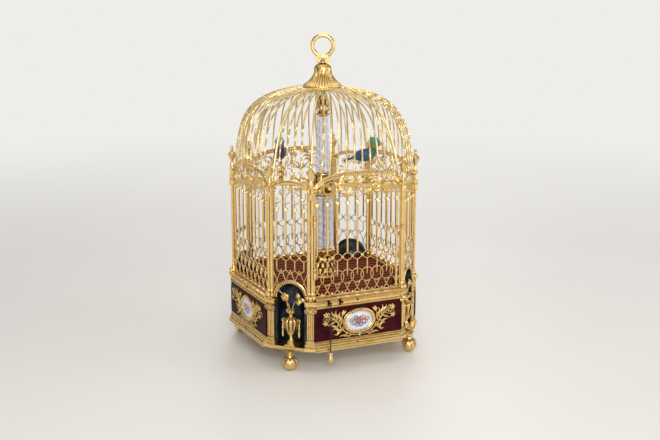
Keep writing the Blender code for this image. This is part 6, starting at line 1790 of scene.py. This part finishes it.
@dataclass
class Fountain:
    """Rocky base, turning glass jets in two stages, leaf basin and capital."""

    def jets(self, name: str, node_name: str, body: str, low: float, high: float, ring_low: float,
             ring_high: float, rod_low: float, rod_high: float, pitch: float) -> None:
        """One stage: eight twisted glass rods in a ring, and a ninth in the middle.

        Args:
            name: Name of the piece.
            node_name: Node that it replaces.
            body: Body that it rides on.
            low: Height of its foot.
            high: Height of its head.
            ring_low: Radius of the ring at the foot.
            ring_high: Radius of the ring at the head.
            rod_low: Radius of a rod at the foot.
            rod_high: Radius of a rod at the head.
            pitch: Height of one turn of the twist.
        """
        made = Shell()
        z = np.linspace(low + 0.3, high - 0.3, int(high - low))
        share = (z - low) / (high - low)
        rod = rod_low + (rod_high - rod_low) * share
        reach = ring_low + (ring_high - ring_low) * share
        groove = np.sin(2.5 * around(20)) ** 2
        for k in range(8):
            a = tau * k / 8
            path = points_of(reach * np.cos(a), reach * np.sin(a), z)
            twist = z * tau / pitch + 0.7 * np.sin(0.5 * z + 2.1 * k) + 1.3 * k
            # Each rod gets painted shade in its grooves, and the middle rod a little all over.
            made.add(sweep(path, lobed(20, 5, 0.26), rod, (0, -1, 0), twist), 0.45 * groove[None])
        made.add(sweep(points_of(0.0, 0.0, z), lobed(16, 4, 0.2), reach - rod * 0.9, (0, -1, 0),
                       -z * tau / (pitch * 2)), 0.3)
        made.piece(name, GLASS, body, [node_name])

    def rock(self) -> None:
        """The base: a rocky mound between a moulded foot and rim, under three wreaths of leaves."""
        made = Shell()
        made.add(revolve([(24.0, 114.8), (25.2, 116.0), (24.0, 118.0), (20.4, 119.6)], 60, 20, 0.03))
        t, z = around(96), np.linspace(118.6, 148.0, 22)[:, None]
        r = 21.0 - 5.4 * np.sin((z - 118.6) / 29.4 * pi / 2)
        r = r * (1 + 0.07 * np.sin(5 * t + z * 0.7) + 0.05 * np.sin(11 * t - z * 1.1))
        # The rocky mound gets painted shade all over, under its wreaths.
        made.add(points_of(r * np.cos(t), r * np.sin(t), z), 0.9)
        made.add(revolve([
            (15.4, 147.2), (17.4, 149.4), (18.4, 153.0), (19.4, 156.6), (19.8, 158.8), (18.8, 160.4),
            (16.8, 161.2)], 96, 16, [0, .08, .1, .1, .05, 0, 0]))
        wreath(made, 14, ((20.6, 118.8), (23.0, 124.0), (20.2, 130.0), (22.0, 133.6)), 2.6)
        wreath(made, 14, ((18.8, 126.0), (21.0, 132.0), (18.6, 139.0), (20.8, 143.0)), 2.4, 0.5)
        wreath(made, 14, ((16.8, 136.0), (19.0, 142.0), (17.4, 148.4), (21.6, 152.8)), 2.4)
        made.piece("rocky_base", CHASED, "cage", ["fountain_rock"])

    def basin(self) -> None:
        """The basin between the stages: two rings of leaves round a turned bowl."""
        made = Shell()
        # The bowl gets painted shade where its leaves cover it.
        made.add(revolve([
            (14.0, 251.2), (16.6, 251.8), (17.4, 253.0), (16.4, 254.6), (12.6, 257.0), (10.4, 260.0),
            (11.4, 264.0), (14.4, 270.0), (15.4, 274.0), (13.8, 278.0), (12.4, 281.0), (12.8, 284.0),
            (13.8, 285.6), (13.4, 287.0), (9.0, 287.7)], 80, 16,
            [0, 0, 0, 0, .06, .08, .1, .1, .08, .05, .05, 0, 0, 0, 0]), [0, 0, 0, .4, 1, 1, 1, 1, 1, 1, 1,
            .6, 0, 0, 0])
        wreath(made, 9, ((11.0, 258.0), (14.6, 264.0), (15.4, 271.0), (20.6, 276.2)), 4.4)
        wreath(made, 9, ((12.4, 268.0), (14.6, 275.0), (13.8, 281.4), (18.0, 285.6)), 3.6, 0.5)
        made.piece("leaf_basin", CHASED, "cage", ["fountain_basin"])

    def capital(self) -> None:
        """The capital that hangs from the collar: rings, leaves and pearls."""
        made = Shell()
        # The core gets painted shade where its leaves cover it.
        made.add(revolve([
            (7.6, 380.8), (9.6, 381.4), (10.2, 382.6), (9.4, 384.2), (6.8, 385.6), (6.4, 389.0),
            (6.4, 394.0), (6.6, 399.0), (6.4, 403.0), (6.4, 407.4), (5.0, 409.6), (3.4, 413.0), (3.2, 418.0),
            (4.6, 421.4), (6.6, 423.4)], 64), [0, 0, 0, 0, .8, 1.2, 1.2, 1.2, 1.2, 1.2, 1, .8, .6, .3, 0])
        wreath(made, 8, ((7.6, 386.0), (10.4, 391.0), (9.4, 396.4), (12.8, 400.4)), 2.7)
        wreath(made, 8, ((6.8, 393.0), (9.4, 399.0), (8.6, 404.4), (11.6, 409.0)), 2.5, 0.5)
        wreath(made, 8, ((5.4, 402.0), (6.8, 408.0), (5.4, 413.4), (8.0, 418.0)), 1.9)
        for k in range(16):
            a = tau * k / 16
            made.add(ball((10.4 * np.cos(a), 10.4 * np.sin(a), 383.0), 1.2, 7, 5))
        made.piece("leaf_capital", CHASED, "cage", ["fountain_capital"])

    def build(self) -> None:
        """Make the whole fountain."""
        self.rock()
        self.jets("lower_glass_jets", "lower_jets", "lower_fountain", 161.6, 250.6, 13.2, 13.2, 4.6, 4.4,
                  19.0)
        self.basin()
        self.jets("upper_glass_jets", "upper_jets", "upper_fountain", 288.2, 380.2, 9.2, 7.0, 3.4, 2.6, 15.0)
        self.capital()


@dataclass
class PerchBeam:
    """The beam across the cage with its scrolled leaves, and the two perches on it."""

    turn: float = -32.14
    height: float = 268.0

    def build(self) -> None:
        """Make the beam and the perches."""
        made = Shell()
        for side in (-1, 1):
            made.add(block((side * 78.0 - 59.4, -1.5, 263.9), (side * 78.0 + 59.4, 1.5, 272.1), 0.7))
            made.add(block((side * 143.0 - 4.4, -5.6, 262.0), (side * 143.0 + 0.9, 5.6, 274.0), 0.8))
            made.add(block((side * 149.4 - 5.2, -5.3, 263.4), (side * 149.4 + 5.2, 5.3, 272.6), 0.5))
            for x in (30.0, 44.0, 90.0, 106.0):
                for lift in (-1, 1):
                    keys = [(side * (x - 9), -1.2, 268 + lift * 3.4),
                            (side * (x - 2), -2.2, 268 + lift * 9.2),
                            (side * (x + 8), -1.2, 268 + lift * 6.4)]
                    # Each leaf has painted shade at its root, fading to none at its tip.
                    made.add(leaf(keys, 2.6, 0.8, 10, 6), np.linspace(0.4, 0, 10))
                    made.add(sweep(spiral((side * (x + 7.6), 268 + lift * 7.0), (3.6, 1.0), (0, 400), 26),
                                   circle(6), 0.8))
        made.turned(self.turn).piece("perch_beam", CHASED, "cage", ["beam"])
        for name, (x, y) in PERCHES.items():
            perch = Shell()
            perch.add(revolve([
                (4.4, 272.7), (4.8, 273.6), (3.4, 275.4), (1.9, 278.4), (1.6, 286.0), (2.4, 289.0),
                (2.6, 290.6), (1.7, 292.4), (1.5, 298.6), (2.4, 300.8), (3.2, 302.4), (2.4, 303.5)], 20))
            wreath(perch, 6, ((2.6, 276.0), (5.6, 281.0), (5.0, 287.0), (8.6, 290.0)), 2.0, thick=0.6,
                   steps=10, shade=0.4, tilt=0.0)
            perch.turned(0, (x, y, 0)).piece(f"leaf_perch_{name}", CHASED, "cage", [f"perch_{name}"])


@dataclass(frozen=True)
class Plumage:
    """Colours of one bird, as sRGB hex."""

    breast: str
    back: str
    wing: str
    head: str
    crest: str
    tail: str


@dataclass
class Bird:
    """One singing bird: body with folded wings, turning head, opening beak and wagging tail."""

    side: str
    place: tuple
    turn: float
    coat: Plumage
    finish: Finish
    middle: float = 314.44

    def shade(self, grid: Array, low: str, high: str, sharp: float = 0.35) -> Array:
        """A coat that goes from one colour below to another above, across each row."""
        z = grid[..., 2]
        middle = z.mean(axis=1, keepdims=True)
        span = np.ptp(z, axis=1, keepdims=True) + 1e-6
        mix = np.clip((z - middle) / span / sharp + 0.5, 0, 1)[..., None]
        return np.array(linear(low)[:3]) * (1 - mix) + np.array(linear(high)[:3]) * mix

    def loft(self, keys: Sequence[Sequence[float]], count: int = 26, sides: int = 24) -> Array:
        """A skin through ovals: each key is y, z, half width, half height and perhaps a backward lean."""
        rows = smooth([(*key, 0.0)[:5] for key in keys], count)
        t = around(sides)
        rise, lean = rows[:, 3:4] * np.sin(t), rows[:, 4:]
        return points_of(rows[:, 2:3] * np.cos(t), rows[:, :1] + rise * np.sin(lean),
                         rows[:, 1:2] + rise * np.cos(lean))

    def send(self, shell: Shell, name: str, finish: Finish, body: str, node_name: str) -> None:
        """Turn a part to the bird's heading, set it at its place and hand it over."""
        placed_bird = shell.turned(self.turn).turned(0, (*self.place, 0))
        placed_bird.piece(f"{name}_{self.side}", finish, body, [node_name])

    def body(self) -> None:
        """Breast, back, wings and legs."""
        m, made = self.middle, Shell()
        skin = self.loft([
            (-12.2, m + 23.0, 5.2, 5.0, 1.5), (-12.4, m + 17.5, 6.6, 6.2, 1.35),
            (-11.2, m + 11.8, 8.0, 7.8, 1.05), (-7.6, m + 6.8, 9.0, 9.6, 0.7),
            (-1.5, m + 3.4, 9.3, 10.9, 0.42), (6.0, m + 2.4, 8.2, 10.2, 0.2), (12.5, m + 1.6, 6.2, 8.0, 0.1),
            (17.5, m + 0.6, 3.6, 4.6)], 40, 28)
        made.add(skin, 0.0, self.shade(skin, self.coat.breast, self.coat.back))
        for s in (-1, 1):
            for k in range(5):
                drop = 1.5 * k
                keys = [(s * (7.4 - 0.2 * k), -7.5 + 1.2 * k, m + 10.5 - drop),
                        (s * (9.9 - 0.1 * k), 1.0 + k, m + 7.6 - drop),
                        (s * (8.0 - 0.6 * k), 11.5 + 1.1 * k, m + 4.6 - drop),
                        (s * 3.6, 20.4 + 0.8 * k, m + 1.6 - drop * 0.6)]
                feather = leaf(keys, 4.0 - 0.3 * k, 1.0, 18, 8, normal=(s, 0.0, 0.35))
                # Each feather has painted shade at its root, fading to none at its tip.
                made.add(feather, np.linspace(0.25, 0, 18)[:, None],
                         self.shade(feather, self.coat.wing, self.coat.back, 0.9))
        self.send(made, "bird_coat", self.finish, f"{self.side}_bird", f"bird_body_{self.side}")
        legs = Shell()
        for s in (-1, 1):
            shank = [(s * 2.4, 1.0, m - 5.0), (s * 2.2, 0.4, m - 8.0), (s * 1.6, 0, 304.6)]
            legs.add(tube(shank, 0.75, 7, (1, 0, 0)))
            for toe in (-1, 0, 1):
                claw = [(s * 1.6, 0, 304.7), (s * 1.6 + 0.8 * toe, -1.6, 304.9),
                        (s * 1.6 + 1.4 * toe, -3.0, 304.5)]
                legs.add(tube(claw, 0.5, 6, (0, 0, 1)))
        self.send(legs, "bird_legs", BEAK, f"{self.side}_bird", f"bird_body_{self.side}")

    def head(self) -> None:
        """Head with the upper beak and glass eyes."""
        m = self.middle
        z, y, made = m + 20.66, -12.0, Shell()
        skin = self.loft([
            (y + 7.4, z + 1.0, 3.0, 4.4), (y + 6.0, z + 2.2, 5.6, 7.0), (y + 2.4, z + 3.2, 7.6, 8.4),
            (y - 1.6, z + 3.8, 7.7, 8.0), (y - 6.0, z + 3.9, 7.0, 7.3), (y - 9.4, z + 3.2, 5.4, 5.6),
            (y - 11.4, z + 2.2, 3.2, 3.4)], 26, 28)
        made.add(skin, 0.0, self.shade(skin, self.coat.crest, self.coat.head, 0.12))
        neck = revolve([
            (6.4, z - 9.0), (7.0, z - 6.6), (7.2, z - 3.4), (6.6, z), (4.0, z + 3.0)], 28, at=(0, y - 0.2))
        made.add(neck, 0.0, self.shade(neck, self.coat.crest, self.coat.crest))
        self.send(made, "bird_crown", self.finish, f"{self.side}_head", f"bird_head_{self.side}")
        hard = Shell()
        hard.add(self.loft([
            (y - 8.4, z + 1.8, 3.6, 2.3), (y - 11.2, z + 1.6, 3.0, 2.1), (y - 13.6, z + 0.8, 1.9, 1.4),
            (y - 15.4, z - 0.4, 0.4, 0.3)], 14, 14))
        self.send(hard, "upper_beak", BEAK, f"{self.side}_head", f"bird_head_{self.side}")
        eyes = Shell()
        for s in (-1, 1):
            eyes.add(ball((s * 6.6, y - 5.4, z + 4.0), 1.5, 12, 9))
        self.send(eyes, "bird_eyes", DIAL_BLACK, f"{self.side}_head", f"bird_head_{self.side}")
        jaw = Shell()
        jaw.add(self.loft([
            (y - 7.6, z - 1.5, 2.6, 1.1), (y - 10.4, z - 1.5, 2.2, 1.0), (y - 12.6, z - 1.8, 1.3, 0.7),
            (y - 14.2, z - 2.2, 0.35, 0.25)], 12, 14))
        self.send(jaw, "lower_beak", BEAK, f"{self.side}_beak", f"bird_beak_{self.side}")

    def tail(self) -> None:
        """Five feathers that fan out behind."""
        m, made = self.middle, Shell()
        for k in range(-2, 3):
            keys = [(0.8 * k, 16.0, m + 0.2), (1.6 * k, 23.6, m - 1.6 - 0.3 * abs(k)),
                    (2.3 * k, 31.0 - 0.8 * abs(k), m - 4.0 - 0.4 * abs(k)),
                    (2.7 * k, 37.4 - 1.6 * abs(k), m - 6.4 - 0.4 * abs(k))]
            feather = leaf(keys, 2.8, 1.1, 16, 8, normal=(0.1 * k, 0.2, 1.0), blunt=0.45)
            made.add(feather, 0.0, self.shade(feather, self.coat.wing, self.coat.tail))
        self.send(made, "tail_feathers", self.finish, f"{self.side}_tail", f"bird_tail_{self.side}")

    def build(self) -> None:
        """Make the bird."""
        self.body()
        self.head()
        self.tail()


# Clock and movement


@dataclass
class Clock:
    """The dial that faces down under the plinth, with numerals, minute track and bezel."""

    face: float = 35.5
    numeral_top: float = 93.0
    numeral_foot: float = 78.0
    track: tuple = (96.4, 100.6)
    numerals: tuple = ("XII", "I", "II", "III", "IIII", "V", "VI", "VII", "VIII", "IX", "X", "XI")

    def bar(self, shell: Shell, a: Array, b: Array, wide: float) -> None:
        """A flat stroke between two (x, y) points just under the dial."""
        a, b = np.asarray(a, float), np.asarray(b, float)
        along = (b - a) / np.hypot(*(b - a))
        across = np.array([-along[1], along[0]]) * wide / 2
        ends = np.stack([a - across, b - across, b + across, a + across])
        shell.add(points_of(ends[:, 0], ends[:, 1], np.array([[self.face - 0.16], [self.face - 0.01]])))

    def numeral(self, shell: Shell, word: str, angle: float) -> None:
        """A Roman numeral read from outside the dial, drawn with thick and thin strokes."""
        widths = {"I": 3.0, "V": 8.0, "X": 8.4}
        total = sum(widths[c] for c in word)
        out = np.array([np.cos(angle), np.sin(angle)])
        right = np.array([-out[1], out[0]])
        at = -total / 2
        for c in word:
            w = widths[c]
            mid, top, low = at + w / 2, self.numeral_top, self.numeral_foot
            if c == "I":
                strokes = [((mid, low), (mid, top), 1.7)]
            elif c == "V":
                strokes = [((mid - 2.7, top), (mid, low), 1.8), ((mid + 2.7, top), (mid, low), 0.7)]
            else:
                strokes = [((mid - 2.9, top), (mid + 2.9, low), 1.8),
                           ((mid + 2.9, top), (mid - 2.9, low), 0.7)]
            for (u0, r0), (u1, r1), wide in strokes:
                self.bar(shell, out * r0 + right * u0, out * r1 + right * u1, wide)
            at += w
        for r in (self.numeral_foot - 0.4, self.numeral_top + 0.4):
            self.bar(shell, out * r - right * total / 2, out * r + right * total / 2, 0.7)

    def build(self) -> None:
        """Make the painted marks and the bezel."""
        marks = Shell()
        for hour, word in enumerate(self.numerals):
            self.numeral(marks, word, radians(-90 + 30 * hour))
        for k in range(60):
            a = tau * k / 60
            way = np.array([np.cos(a), np.sin(a)])
            self.bar(marks, way * (self.track[0] + 0.2), way * (self.track[1] - 0.2),
                     0.5 if k % 5 else 1.2)
        t = around(120)
        for r in self.track:
            marks.add(sweep(points_of(r * np.cos(t), r * np.sin(t), self.face - 0.09),
                            oblong(0.2, -0.07, 0.07), 1.0, (0, 0, 1), closed=True), loop=True)
        marks.piece("dial_numerals", DIAL_BLACK, "cage")
        rim = Shell()
        profile = [(102.2, 35.0), (102.2, 33.6), (103.4, 32.5), (105.0, 32.3), (106.6, 32.6), (107.8, 33.8),
                   (108.0, 35.6), (107.6, 37.3), (104.5, 37.3), (104.5, 35.0)]
        rim.add(revolve(profile, 144), loop=True)
        rim.piece("moulded_bezel", GILT, "cage", ["dial_bezel"])


@dataclass
class Bellows:
    """The organ's bellows: pleated kid between the fixed board and a hinged lid."""

    half: float = 13.0
    hinge: float = 26.0
    far: float = 70.0
    low: float = 90.95
    shut: float = 1.7
    gape: float = 9.0
    lid: float = 1.3
    pleats: int = 4
    fold: float = 2.2

    def build(self) -> None:
        """Make the leather, which stretches from board to lid, and the lid."""
        levels = 2 * self.pleats + 1
        share = np.linspace(0, 1, levels * 3)
        fold = self.fold / 2 * (1 - np.cos(share * tau * self.pleats))
        t = np.linspace(0, tau, 64, endpoint=False)
        square = (np.abs(np.cos(t)) ** 8 + np.abs(np.sin(t)) ** 8) ** (-1 / 8)
        middle, reach = (self.hinge + self.far) / 2, (self.far - self.hinge) / 2
        x = (self.half - fold[:, None]) * (square * np.cos(t))[None]
        y = middle + (reach - fold[:, None]) * (square * np.sin(t))[None]
        tall = self.shut + (self.gape - self.shut) * (y - self.hinge) / (self.far - self.hinge) - self.lid
        leather = Shell()
        # The pleats' creases get painted shade.
        leather.add(points_of(x, y, self.low + share[:, None] * tall), fold / self.fold * 0.8)
        made = leather.piece("pleated_kid", KID, "", ["bellows"])
        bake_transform(made)
        board = Shell()
        rows = []
        for inset, lift in ((0.3, -self.lid), (0.0, -self.lid + 0.3), (0.0, -0.3), (0.3, 0.0)):
            x = (self.half - inset) * square * np.cos(t)
            y = middle + (reach - inset) * square * np.sin(t)
            top = self.shut + (self.gape - self.shut) * (y - self.hinge) / (self.far - self.hinge)
            rows.append(points_of(x, y, self.low + top + lift))
        board.add(np.stack(rows))
        board.piece("bellows_board", MOVEMENT_BRASS, "bellows_lid", ["bellows"])


def keep_nodes(nodes: dict[str, bpy.types.Object]) -> None:
    """Give the nodes whose shape stays their real finishes."""
    finishes = {"cage_floor": FLOOR_LACQUER, "dial_plate": DIAL_ENAMEL, "hour_hand": BLUED_STEEL,
                "minute_hand": BLUED_STEEL, "movement_frame": MOVEMENT_BRASS, "spring_barrel": MOVEMENT_BRASS,
                "regulator_fly": MOVEMENT_BRASS, "song_lever": BLACKENED, "repeat_lever": BLACKENED}
    for name, finish in finishes.items():
        dress(nodes[name], finish)


def main(nodes: dict[str, bpy.types.Object]) -> None:
    """Build every sub-assembly in order."""
    logging.basicConfig(level=logging.INFO, format="%(name)s %(message)s")
    left = Plumage("322A78", "1E1A52", "2A2468", "CFEAF0", "3A3486", "241E60")
    right = Plumage("2F8A84", "5A56A0", "3A7484", "48B79C", "9AA02C", "4A5230")
    for assembly in (Studio(), SongCord(), LongGrille(), DoorFurniture(), CornerBay(), Dome(), Crown(),
                     Plinth(), Niche(), Medallion(), UrnFoot(), Fountain(), PerchBeam(),
                     Bird("left", PERCHES["left"], -28.0, left, PLUMAGE),
                     Bird("right", PERCHES["right"], 65.0, right, GREEN_PLUMAGE), Clock(), Bellows()):
        LOG.info("building %s", type(assembly).__name__)
        assembly.build()
    keep_nodes(nodes)


if __name__ == "__main__":
    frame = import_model()
    main(frame["nodes"])
